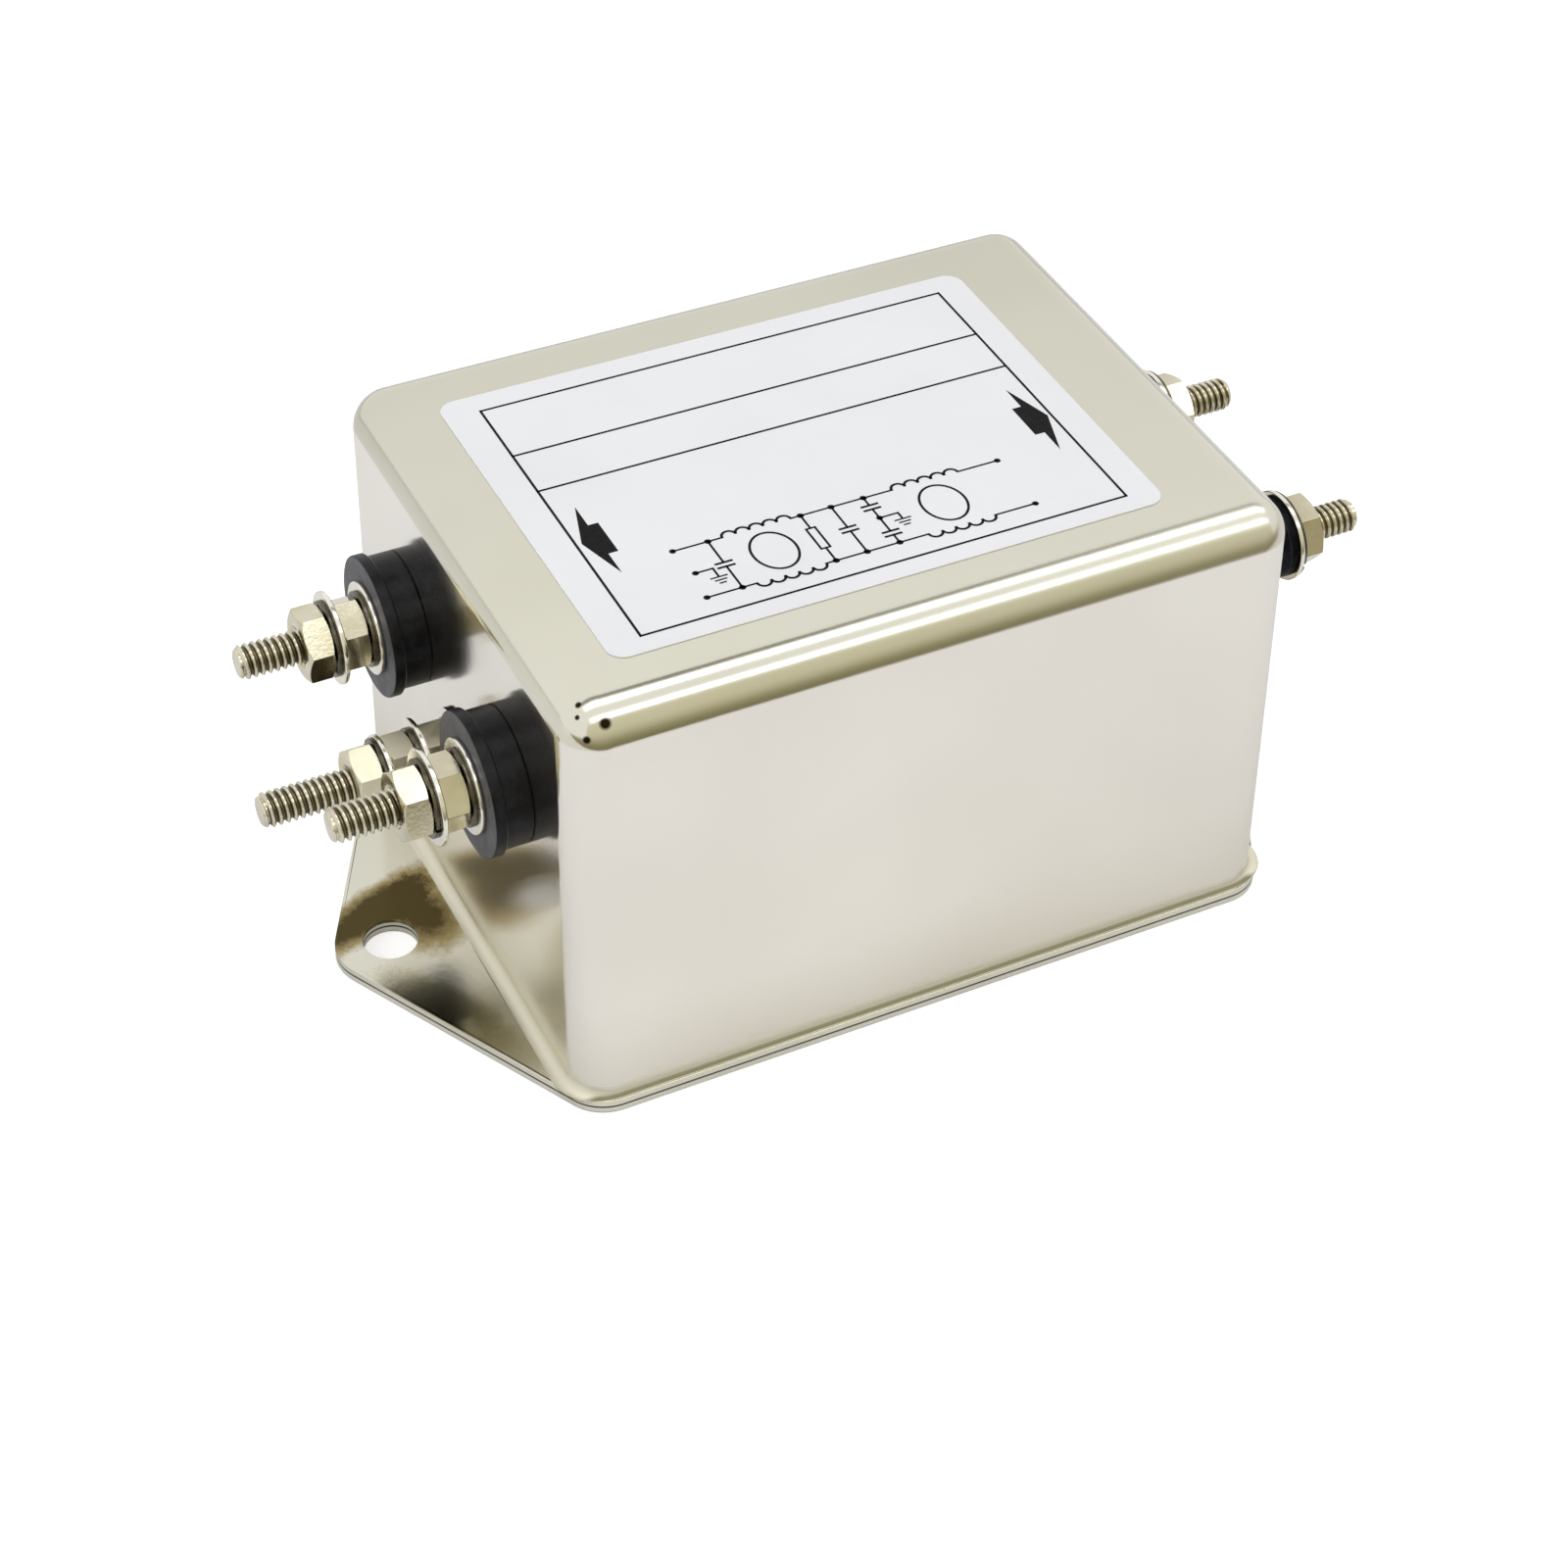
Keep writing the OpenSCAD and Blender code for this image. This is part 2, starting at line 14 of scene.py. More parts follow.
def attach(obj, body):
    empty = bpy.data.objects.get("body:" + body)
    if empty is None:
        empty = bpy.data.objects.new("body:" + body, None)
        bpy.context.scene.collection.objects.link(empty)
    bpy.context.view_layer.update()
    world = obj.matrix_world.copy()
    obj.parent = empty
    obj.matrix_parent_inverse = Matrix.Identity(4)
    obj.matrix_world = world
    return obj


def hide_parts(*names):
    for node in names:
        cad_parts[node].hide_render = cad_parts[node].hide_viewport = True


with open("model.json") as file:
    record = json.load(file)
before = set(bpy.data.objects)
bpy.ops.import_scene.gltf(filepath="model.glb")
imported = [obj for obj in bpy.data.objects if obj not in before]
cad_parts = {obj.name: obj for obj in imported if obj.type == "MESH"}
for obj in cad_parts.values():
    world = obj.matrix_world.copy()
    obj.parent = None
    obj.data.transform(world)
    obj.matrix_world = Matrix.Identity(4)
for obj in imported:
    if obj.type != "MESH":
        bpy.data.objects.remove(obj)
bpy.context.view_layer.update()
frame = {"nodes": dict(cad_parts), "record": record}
MM = 0.001
print("frame nodes:", len(frame["nodes"]))

# %% [markdown]
# The camera looks down on the long side and the line end of the can. It is a long lens, as
# product pictures use, so that the can's edges run nearly parallel. It could be aimed with a
# Track To constraint; here its three axes are worked out from azimuth, elevation and roll,
# and a small lens shift puts the object where it stands in the frame.

# %% Camera
CAMERA_AZIMUTH = math.radians(-28.155)
CAMERA_ELEVATION = math.radians(36.24)
CAMERA_ROLL = math.radians(1.955)
CAMERA_PLACE = Vector((-138.05, -275.65, 273.59)) * MM
LENS_MM = 82.82
SHIFT = (-0.06827, -0.19163)

towards = Vector((
    math.cos(CAMERA_ELEVATION) * math.sin(CAMERA_AZIMUTH),
    -math.cos(CAMERA_ELEVATION) * math.cos(CAMERA_AZIMUTH),
    math.sin(CAMERA_ELEVATION),
))
level_right = (-towards).cross(Vector((0, 0, 1))).normalized()
level_up = level_right.cross(-towards)
right = math.cos(CAMERA_ROLL) * level_right + math.sin(CAMERA_ROLL) * level_up
up = -math.sin(CAMERA_ROLL) * level_right + math.cos(CAMERA_ROLL) * level_up

bpy.ops.object.camera_add(location=CAMERA_PLACE)
camera = bpy.context.active_object
camera.name = "camera"
camera.matrix_world = Matrix((
    (right.x, up.x, towards.x, CAMERA_PLACE.x),
    (right.y, up.y, towards.y, CAMERA_PLACE.y),
    (right.z, up.z, towards.z, CAMERA_PLACE.z),
    (0, 0, 0, 1),
))
camera.data.sensor_width = 36.0
camera.data.lens = LENS_MM
camera.data.shift_x, camera.data.shift_y = SHIFT
camera.data.clip_start = 0.01
bpy.context.scene.camera = camera
print("camera at", [round(v, 3) for v in CAMERA_PLACE])

# %% [markdown]
# The measures of the real filter, in millimetres. The main ones are the same as in the solid
# model. The can's wall is the zero of everything that is screwed to it, so each terminal is
# built around the X axis from 0 outwards, and then turned and moved to its place.

# %% Measures
CAN_X, CAN_Y, CAN_TOP = 41.0, 31.7, 52.4
CORNER_R = 4.3
SHEET = 0.8
BEND_R = 0.6
LIP = 0.8
HOLE_X = 50.0
HOLE_R = 2.95
EAR_R = 6.0
STUD_R = 1.95
BORE_R = 2.0
LINE, LOAD = -1, 1
TERMINAL_Z, EARTH_Z = 33.0, 24.8
# end wall, place across it and height of each terminal
TERMINALS = {
    "line_back": (LINE, 14.1, TERMINAL_Z),
    "line_front": (LINE, -14.1, TERMINAL_Z),
    "load_back": (LOAD, 13.4, TERMINAL_Z),
    "load_front": (LOAD, -13.0, TERMINAL_Z),
    "earth": (LINE, 0.0, EARTH_Z),
}
print("can", 2 * CAN_X, "x", 2 * CAN_Y, "x", CAN_TOP, "mm")

# %% [markdown]
# A handful of small helpers keep the cells below short. Everything is deselected before a
# primitive is added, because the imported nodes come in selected. A chain is a line of edges,
# drawn as by hand: one vertex is pulled from point to point.

# %% Helpers for selecting and drawing
def deselect():
    if bpy.context.mode != "OBJECT":
        bpy.ops.object.mode_set(mode="OBJECT")
    bpy.ops.object.select_all(action="DESELECT")


def pick(obj):
    deselect()
    obj.select_set(True)
    bpy.context.view_layer.objects.active = obj


def edit(obj, how="SELECT", kind="VERT"):
    pick(obj)
    bpy.ops.object.mode_set(mode="EDIT")
    bpy.ops.mesh.select_mode(type=kind)
    bpy.ops.mesh.select_all(action=how)


def choose_vertices(obj, test):
    """Selects the vertices that pass the test, in edit mode."""
    edit(obj, "DESELECT")
    bpy.ops.object.mode_set(mode="OBJECT")
    for vertex in obj.data.vertices:
        vertex.select = test(vertex.co / MM)
    bpy.ops.object.mode_set(mode="EDIT")


def chain(name, points):
    """Edges through the points, in millimetres, drawn by pulling one vertex along."""
    deselect()
    bpy.ops.mesh.primitive_plane_add(size=MM)
    obj = bpy.context.active_object
    obj.name = name
    edit(obj)
    bpy.ops.mesh.merge(type="CENTER")
    bpy.ops.transform.translate(value=Vector(points[0]) * MM)
    for start, end in zip(points, points[1:]):
        step = (Vector(end) - Vector(start)) * MM
        bpy.ops.mesh.extrude_region_move(TRANSFORM_OT_translate={"value": step})
    return obj


def arc(centre, radius, start, end, steps):
    """Points of an arc in a flat drawing, both ends included, angles in degrees."""
    angles = [math.radians(start + (end - start) * k / steps) for k in range(steps + 1)]
    return [(centre[0] + radius * math.cos(a), centre[1] + radius * math.sin(a)) for a in angles]


print("drawing helpers ready")

# %% Helpers for shaping
def cylinder(sides, radius, length, middle, along_x=False):
    """A cylinder or prism round its middle, upright or lying along X, in millimetres."""
    deselect()
    bpy.ops.mesh.primitive_cylinder_add(
        vertices=sides, radius=radius * MM, depth=length * MM,
        location=[v * MM for v in middle], rotation=(0, math.pi / 2 if along_x else 0, 0))
    bpy.ops.object.transform_apply(location=True, rotation=True)
    return bpy.context.active_object


def clean(obj, closer=0.002):
    """Merges vertices that lie closer than this and turns the faces outwards."""
    edit(obj)
    bpy.ops.mesh.remove_doubles(threshold=closer * MM)
    bpy.ops.mesh.normals_make_consistent(inside=False)
    deselect()


def use(obj, kind, **settings):
    """Adds a modifier with its settings and applies it."""
    pick(obj)
    modifier = obj.modifiers.new(kind.lower(), kind)
    for key, value in settings.items():
        setattr(modifier, key, value)
    bpy.ops.object.modifier_apply(modifier=modifier.name)


def bevel(obj, width, segments, degrees):
    """Rounds the edges where the surface turns by more than the angle."""
    use(obj, "BEVEL", width=width * MM, segments=segments, limit_method="ANGLE",
        angle_limit=math.radians(degrees))


def carve(obj, tool, operation="DIFFERENCE"):
    use(obj, "BOOLEAN", object=tool, operation=operation, solver="EXACT")
    bpy.data.objects.remove(tool)


def join(parts, name):
    deselect()
    for part in parts:
        part.select_set(True)
    bpy.context.view_layer.objects.active = parts[0]
    bpy.ops.object.join()
    parts[0].name = name
    return parts[0]


def smooth(obj, degrees=35):
    """Smooth shading up to an angle, with the flat faces kept flat."""
    pick(obj)
    bpy.ops.object.shade_smooth_by_angle(angle=math.radians(degrees))
    use(obj, "WEIGHTED_NORMAL", keep_sharp=True, weight=100)


def turned(name, drawing, steps):
    """A body of revolution about X from a drawing of (along, radius) points."""
    obj = chain(name, [(a, 0, r) for a, r in drawing + [drawing[0]]])
    bpy.ops.mesh.select_all(action="SELECT")
    bpy.ops.mesh.spin(steps=steps, angle=2 * math.pi, center=(0, 0, 0), axis=(1, 0, 0))
    clean(obj)
    return obj


def place(obj, terminal, along=0.0, turn=0.0):
    """Turns a piece about its own stud, then puts it on its end wall, facing outwards."""
    end, y, z = TERMINALS[terminal]
    half_turn = math.pi if end == LINE else 0.0
    move = Matrix.Translation(Vector((end * (CAN_X + along), y, z)) * MM)
    obj.matrix_world = (move @ Matrix.Rotation(half_turn, 4, "Z")
                        @ Matrix.Rotation(math.radians(turn), 4, "X"))
    pick(obj)
    bpy.ops.object.transform_apply(location=True, rotation=True, scale=True)


print("shaping helpers ready")

# %% [markdown]
# The can is pressed from one sheet. Its section is the same all the way round: a rounded top
# edge, an upright wall and a small bend out into the lip. So one section is drawn and carried
# round the can: spun a quarter turn at each corner and pulled straight along each side. The
# corner radius equals the top edge radius, so each upper corner becomes a piece of a sphere.

# %% The can's section
centre_x, centre_y = CAN_X - CORNER_R, CAN_Y - CORNER_R
arc_z = CAN_TOP - CORNER_R
flange_top = 2 * SHEET
bend_z = flange_top + BEND_R
EDGE_STEPS, BEND_STEPS = 14, 6

outside = arc((0, arc_z), CORNER_R, 90, 0, EDGE_STEPS)
outside += arc((CORNER_R + BEND_R, bend_z), BEND_R, 180, 270, BEND_STEPS)
inside = arc((CORNER_R + BEND_R, bend_z), BEND_R + SHEET, 270, 180, BEND_STEPS)
inside += arc((0, arc_z), CORNER_R - SHEET, 0, 90, EDGE_STEPS)
can = chain("can", [(centre_x + s, centre_y, z) for s, z in outside + inside])
print("section has", len(can.data.vertices), "points before the sweep")

# %% Carry the section round the can
bpy.ops.mesh.select_all(action="SELECT")
CORNERS = [(1, 1), (-1, 1), (-1, -1), (1, -1)]
for number, (sx, sy) in enumerate(CORNERS):
    bpy.ops.mesh.spin(
        steps=EDGE_STEPS, angle=-math.pi / 2,
        center=(sx * centre_x * MM, sy * centre_y * MM, 0), axis=(0, 0, 1))
    next_x, next_y = CORNERS[(number + 1) % 4]
    step = Vector(((next_x - sx) * centre_x, (next_y - sy) * centre_y, 0)) * MM
    bpy.ops.mesh.extrude_region_move(TRANSFORM_OT_translate={"value": step})
clean(can)
for level in (CAN_TOP, CAN_TOP - SHEET):
    choose_vertices(can, lambda p: abs(p.z - level) < 0.01)
    bpy.ops.mesh.edge_face_add()
clean(can)
print("can shell size mm", [round(v / MM, 2) for v in can.dimensions])

# %% [markdown]
# The press bends the sheet more gently into the ears than into the narrow lip. The vertices
# of the bend's outer arc are found by their distance from the arc's centre, and the arc is
# scaled up by how far its wall faces the end, so the radius grows evenly round the corners.

# %% Widen the bend at the ends
END_BEND_R = 1.5
for vertex in can.data.vertices:
    p = vertex.co / MM
    reach = Vector((max(abs(p.x) - centre_x, 0), max(abs(p.y) - centre_y, 0)))
    outwards = reach.length - CORNER_R
    on_arc = abs(math.hypot(outwards - BEND_R, p.z - bend_z) - BEND_R) < 0.01
    if on_arc and p.z < bend_z + 0.01 and outwards > -0.01:
        growth = 1 + (END_BEND_R / BEND_R - 1) * (reach.x / reach.length) ** 2
        reach *= (CORNER_R + outwards * growth) / reach.length
        vertex.co = Vector((
            math.copysign(min(abs(p.x), centre_x) + reach.x, p.x),
            math.copysign(min(abs(p.y), centre_y) + reach.y, p.y),
            flange_top + (p.z - flange_top) * growth)) * MM
print("end bend radius mm", END_BEND_R)

# %% [markdown]
# The lip and the two ears are one flat plate with a convex outline, so the quickest way to
# draw it is to stand a short cylinder at each rounded corner and wrap the convex hull round
# them. The same slab, without the opening for the can, is the base plate under it. Both get
# a fine rounded edge, which is what catches the light on real sheet metal.

# %% Plates
def peg(x, y, radius, low, high):
    return cylinder(96, radius, high - low, (x, y, (low + high) / 2))


def slab(name, pegs, low, high):
    obj = join([peg(x, y, r, low, high) for x, y, r in pegs], name)
    edit(obj)
    bpy.ops.mesh.convex_hull()
    bpy.ops.mesh.select_all(action="SELECT")
    bpy.ops.mesh.dissolve_limited(angle_limit=math.radians(0.5))
    clean(obj)
    return obj


def flange_pegs():
    corners = [(sx * centre_x, sy * centre_y, CORNER_R + LIP) for sx, sy in CORNERS]
    return corners + [(end * HOLE_X, 0, EAR_R) for end in (LINE, LOAD)]


def drill(obj, low, high):
    for end in (LINE, LOAD):
        carve(obj, peg(end * HOLE_X, 0, HOLE_R, low - 1, high + 1))


flange = slab("flange", flange_pegs(), SHEET, flange_top)
carve(flange, slab("opening", [(sx * centre_x, sy * centre_y, CORNER_R + BEND_R)
                               for sx, sy in CORNERS], SHEET - 1, flange_top + 1))
drill(flange, SHEET, flange_top)
bevel(flange, 0.2, 3, 50)

base = slab("base", flange_pegs(), 0, SHEET)
drill(base, 0, SHEET)
bevel(base, 0.12, 2, 50)
print("plates:", len(flange.data.polygons), "and", len(base.data.polygons), "faces")

# %% [markdown]
# The end walls are pierced for the bushings and for the earth stud. A boolean with a short
# cylinder does that well on a flat wall. Then the shell and its lip are joined into one piece
# and shaded smooth, with normals weighted by face area, so that the big flat walls mirror
# like flat walls right up to the rounded edges.

# %% Pierce and finish the can
SPIGOT_HOLE_R, EARTH_HOLE_R, CUTTER_L = 4.65, 2.1, 4.0
for name, (end, y, z) in TERMINALS.items():
    hole_r = EARTH_HOLE_R if name == "earth" else SPIGOT_HOLE_R
    carve(can, cylinder(48, hole_r, CUTTER_L, (end * CAN_X, y, z), along_x=True))
can = join([can, flange], "can")
smooth(can)
smooth(base)
print("can faces:", len(can.data.polygons))

# %% [markdown]
# Each bushing is a moulded ring with a thin rim at its outer face. The load side has a
# longer neck on top, because its terminals stand further out. They are bodies of revolution,
# so a half section is drawn and spun once about the stud's axis. Small chamfers in the
# drawing give the moulding its worn edges without any modifier.

# %% Bushings
BODY_R, RIM_R, BUSH_H, RIM_H = 7.35, 7.85, 4.3, 1.3
SPIGOT_R, NECK_R = 4.5, 4.6
NECK_H = {"back": 5.1, "front": 6.0}
body_drawing = [
    (-SHEET, BORE_R), (-SHEET, SPIGOT_R), (0.0, SPIGOT_R), (0.0, BODY_R - 0.12), (0.12, BODY_R),
    (BUSH_H - RIM_H - 0.2, BODY_R), (BUSH_H - RIM_H - 0.05, BODY_R + 0.06),
    (BUSH_H - RIM_H, RIM_R - 0.15), (BUSH_H - RIM_H + 0.15, RIM_R),
    (BUSH_H - 0.2, RIM_R), (BUSH_H - 0.06, RIM_R - 0.06), (BUSH_H, RIM_R - 0.2),
]
line_top = [(BUSH_H, BORE_R + 0.3), (BUSH_H - 0.2, BORE_R)]
bushings = []
for side, neck in NECK_H.items():
    neck_end = BUSH_H + neck
    load_top = [(BUSH_H, NECK_R + 0.25), (BUSH_H + 0.25, NECK_R), (neck_end - 0.2, NECK_R),
                (neck_end, NECK_R - 0.2), (neck_end, BORE_R)]
    for end_name, top in (("line", line_top), ("load", load_top)):
        piece = turned(f"bushing_{end_name}_{side}", body_drawing + top, 96)
        place(piece, f"{end_name}_{side}")
        smooth(piece, 32)
        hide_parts(f"{end_name}_bushing_{side}")
        bushings.append(piece)
print("bushings:", len(bushings))

# %% [markdown]
# A screw thread is one notch carried along a helix. The notch of a single pitch is drawn once
# and a Screw modifier winds it round the stud, turn after turn; the turns meet exactly, so
# they merge into one skin. The ends are cut square with bisect, and the vertices near the
# tip are drawn in to a cone, which leaves the thread a chamfered start.

# %% Threaded studs
PITCH = 0.8
ROOT_R = 1.54
TIP_CHAMFER, TIP_R = 0.6, 1.5
HEAD_H, HEAD_R = 2.8, 4.0
LUG_T, RING_T = 0.8, 2.0
MID_R = (ROOT_R + STUD_R) / 2
# one turn of the thread: how far along, as a share of the pitch, and the radius there
notch = [(0.0, ROOT_R), (0.12, ROOT_R), (0.28, MID_R), (0.42, STUD_R - 0.03), (0.48, STUD_R),
         (0.58, STUD_R), (0.64, STUD_R - 0.03), (0.78, MID_R), (0.94, ROOT_R), (1.0, ROOT_R)]


def threaded_rod(name, low, high):
    """A thread that is wound from a little over a pitch before low, so that no ring of vertices
    lies on the plane of the cut, where it would leave the cap open."""
    turns = math.ceil((high - low) / PITCH) + 2
    start = low - 1.01 * PITCH
    rod = chain(name, [(start + a * PITCH, 0, r) for a, r in notch])
    deselect()
    use(rod, "SCREW", axis="X", angle=2 * math.pi, screw_offset=PITCH * MM, iterations=turns,
        steps=40, render_steps=40)
    clean(rod, 0.004)
    for cut, outer in ((low, False), (high, True)):
        edit(rod)
        bpy.ops.mesh.bisect(plane_co=(cut * MM, 0, 0), plane_no=(1, 0, 0), use_fill=True,
                            clear_inner=not outer, clear_outer=outer, threshold=0.0005 * MM)
    clean(rod, 0.001)
    return rod


print("thread of", PITCH, "mm pitch")

# %% Studs
def stud(terminal, head_z, reach, node):
    rod = threaded_rod("stud_" + terminal, -head_z, reach)
    for vertex in rod.data.vertices:
        x, radius = vertex.co.x / MM, math.hypot(vertex.co.y, vertex.co.z) / MM
        from_tip = reach - x
        cone = TIP_R + from_tip * (STUD_R - TIP_R) / TIP_CHAMFER
        if from_tip < TIP_CHAMFER and radius > ROOT_R - 0.1:
            fade = min(1, 2 * from_tip / TIP_CHAMFER)
            wanted = min(radius, cone) * fade + cone * (1 - fade)
            vertex.co.y *= wanted / radius
            vertex.co.z *= wanted / radius
    head = cylinder(6, HEAD_R, HEAD_H, (-(head_z + HEAD_H / 2), 0, 0), along_x=True)
    bevel(head, 0.15, 2, 30)
    rod = join([rod, head], "stud_" + terminal)
    smooth(rod, 28)
    place(rod, terminal)
    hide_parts(node)
    return rod


UNDER_RING = SHEET + RING_T + LUG_T
studs = [
    stud("line_back", UNDER_RING, 19.0, "line_stud_back"),
    stud("line_front", UNDER_RING, 19.0, "line_stud_front"),
    stud("load_back", UNDER_RING, 19.6, "load_stud_back"),
    stud("load_front", UNDER_RING, 20.0, "load_stud_front"),
    stud("earth", SHEET + LUG_T, 22.0, "earth_stud"),
]
print("thread faces:", [len(piece.data.polygons) for piece in studs])

# %% [markdown]
# A hexagon nut is a six-sided bar cut off and chamfered on a lathe, which leaves the curved
# edge on each flat. So it is made the same way: a six-sided cylinder, crossed with a turned
# double cone, bored with a countersunk hole, and given a hair of bevel on every edge.

# %% Nuts
NUT_R, NUT_H, EARTH_NUT_H = 4.15, 3.0, 3.3
FLAT_R = NUT_R * math.cos(math.radians(30))
CHAMFER_H = (NUT_R - FLAT_R) * math.tan(math.radians(30)) + 0.03
COUNTERSINK = 0.3
# a six-sided prism has its first corner on Y, and the turns below count from a corner on Z
FIRST_CORNER = 30


def nut(name, height, terminal, along, turn, node):
    piece = cylinder(6, NUT_R, height, (height / 2, 0, 0), along_x=True)
    piece.name = name
    face_r, clear_r = FLAT_R - 0.1, NUT_R + 0.01
    lathe = turned("lathe", [(0, 0), (0, face_r), (CHAMFER_H, clear_r),
                             (height - CHAMFER_H, clear_r), (height, face_r), (height, 0)], 96)
    carve(piece, lathe, "INTERSECT")
    wide_r = BORE_R + COUNTERSINK + 1
    bore = turned("bore", [(-1, 0), (-1, wide_r), (COUNTERSINK, BORE_R),
                           (height - COUNTERSINK, BORE_R), (height + 1, wide_r),
                           (height + 1, 0)], 48)
    carve(piece, bore)
    bevel(piece, 0.07, 2, 25)
    smooth(piece, 22)
    place(piece, terminal, along, turn + FIRST_CORNER)
    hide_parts(node)
    return piece


# where each pile of washers and a nut starts, counted from the wall
WASHERS = 0.95
line_1 = BUSH_H
line_2 = line_1 + WASHERS + NUT_H
load_back, load_front = BUSH_H + NECK_H["back"], BUSH_H + NECK_H["front"]
earth_1 = WASHERS + EARTH_NUT_H
earth_2 = earth_1 + WASHERS + NUT_H
NUTS = [
    ("nut_line_back_inner", NUT_H, "line_back", line_1, 0, "line_inner_nut_back"),
    ("nut_line_back_outer", NUT_H, "line_back", line_2, 43, "line_outer_nut_back"),
    ("nut_line_front_inner", NUT_H, "line_front", line_1, 32, "line_inner_nut_front"),
    ("nut_line_front_outer", NUT_H, "line_front", line_2, 10, "line_outer_nut_front"),
    ("nut_load_back", NUT_H, "load_back", load_back, 12, "load_nut_back"),
    ("nut_load_front", NUT_H, "load_front", load_front, 39, "load_nut_front"),
    ("nut_earth_wall", EARTH_NUT_H, "earth", 0, 30, "earth_wall_nut"),
    ("nut_earth_inner", NUT_H, "earth", earth_1, 30, "earth_inner_nut"),
    ("nut_earth_outer", NUT_H, "earth", earth_2, 10, "earth_outer_nut"),
]
nuts = [nut(name, height, where, seat + WASHERS, turn, node)
        for name, height, where, seat, turn, node in NUTS]
print("nuts:", len(nuts), "with", len(nuts[0].data.polygons), "faces each")

# %% [markdown]
# The washers are stamped rings with a rounded outer edge, and the spring washers are a strip
# of square wire wound into a ring with a split. The flat ones are spun all the way round,
# the spring ones a little less, and their two ends are closed with a face.

# %% Washers
WASHER_R, SMALL_R, SPRING_R, WIDE_SPRING_R = 5.15, 4.5, 4.2, 4.95
WASHER_T, SPRING_T = 0.55, 0.4
SPLIT_DEGREES = 8


def flat_washer(terminal, along, radius):
    edge = 0.14
    piece = turned("washer", [
        (0, BORE_R), (0, radius - edge), (0.04, radius - 0.04), (edge, radius),
        (WASHER_T - edge, radius), (WASHER_T - 0.04, radius - 0.04), (WASHER_T, radius - edge),
        (WASHER_T, BORE_R)], 72)
    place(piece, terminal, along)
    return piece


def spring_washer(terminal, along, turn, radius):
    edge = 0.06
    drawing = [(0, BORE_R), (0, radius - edge), (edge, radius), (SPRING_T - edge, radius),
               (SPRING_T, radius - edge), (SPRING_T, BORE_R), (0, BORE_R)]
    piece = chain("spring", [(a, 0, r) for a, r in drawing])
    bpy.ops.mesh.select_all(action="SELECT")
    bpy.ops.mesh.remove_doubles(threshold=0.001 * MM)
    bpy.ops.mesh.select_all(action="SELECT")
    bpy.ops.mesh.spin(steps=60, angle=math.radians(360 - SPLIT_DEGREES), center=(0, 0, 0),
                      axis=(1, 0, 0))
    edit(piece, "DESELECT", "EDGE")
    bpy.ops.mesh.select_non_manifold()
    bpy.ops.mesh.fill_holes(sides=0)
    clean(piece)
    place(piece, terminal, along, turn)
    return piece


# terminal, seat, radius of the flat washer, and where the split of the spring washer points
WASHER_SEATS = {
    "line": [("line_back", line_1, WASHER_R, 70), ("line_back", line_2, WASHER_R, 200),
             ("line_front", line_1, WASHER_R, 140), ("line_front", line_2, WASHER_R, 250)],
    "load": [("load_back", load_back, WASHER_R, 160), ("load_front", load_front, WASHER_R, 100)],
    "earth": [("earth", 0, WASHER_R, 120), ("earth", earth_1, WASHER_R, 220),
              ("earth", earth_2, SMALL_R, 60)],
}
flat_washers, spring_washers = [], []
for end_name, seats in WASHER_SEATS.items():
    rings = [flat_washer(where, seat, radius) for where, seat, radius, _ in seats]
    piece = join(rings, f"washers_{end_name}")
    smooth(piece, 50)
    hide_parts(f"{end_name}_flat_washers")
    flat_washers.append(piece)
for end_name, seats in WASHER_SEATS.items():
    spring_r = WIDE_SPRING_R if end_name == "load" else SPRING_R
    rings = [spring_washer(where, seat + WASHER_T, turn, spring_r)
             for where, seat, _, turn in seats]
    piece = join(rings, f"springs_{end_name}")
    smooth(piece, 50)
    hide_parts(f"{end_name}_spring_washers")
    spring_washers.append(piece)
print("washer sets:", [piece.name for piece in flat_washers + spring_washers])

# %% [markdown]
# The sticker is a slab with rounded corners. Its print is made of thin flat shapes that lie on
# it: bars, rings and half rings joined into a frame, two arrows and the circuit of a
# two-stage filter. Real shapes stay crisp at any distance, where a painted texture blurs.

# %% Sticker
STICKER_X, STICKER_Y = -2.2, -0.6
STICKER_L, STICKER_W, STICKER_R = 62.4, 47.4, 2.0
STICKER_T, PRINT_T = 0.15, 0.02
sticker_top = CAN_TOP + STICKER_T - PRINT_T
half_l, half_w = STICKER_L / 2 - STICKER_R, STICKER_W / 2 - STICKER_R
sticker = slab("sticker", [(STICKER_X + sx * half_l, STICKER_Y + sy * half_w, STICKER_R)
                           for sx, sy in CORNERS], CAN_TOP, sticker_top)
bevel(sticker, 0.04, 2, 50)
smooth(sticker)
print("sticker", STICKER_L, "x", STICKER_W, "mm")

# %% Ink shapes
ink = []


def ink_done(obj):
    """Gives a flat shape the thickness of the print and keeps it for joining."""
    edit(obj)
    bpy.ops.mesh.extrude_region_move(TRANSFORM_OT_translate={"value": (0, 0, PRINT_T * MM)})
    clean(obj, 0.0005)
    ink.append(obj)


def bar(x0, y0, x1, y1, width=0.3):
    deselect()
    length, angle = math.hypot(x1 - x0, y1 - y0), math.atan2(y1 - y0, x1 - x0)
    bpy.ops.mesh.primitive_plane_add(size=MM)
    obj = bpy.context.active_object
    obj.scale = (length + width, width, 1)
    obj.rotation_euler.z = angle
    obj.location = ((x0 + x1) / 2 * MM, (y0 + y1) / 2 * MM, sticker_top * MM)
    bpy.ops.object.transform_apply(location=True, rotation=True, scale=True)
    ink_done(obj)


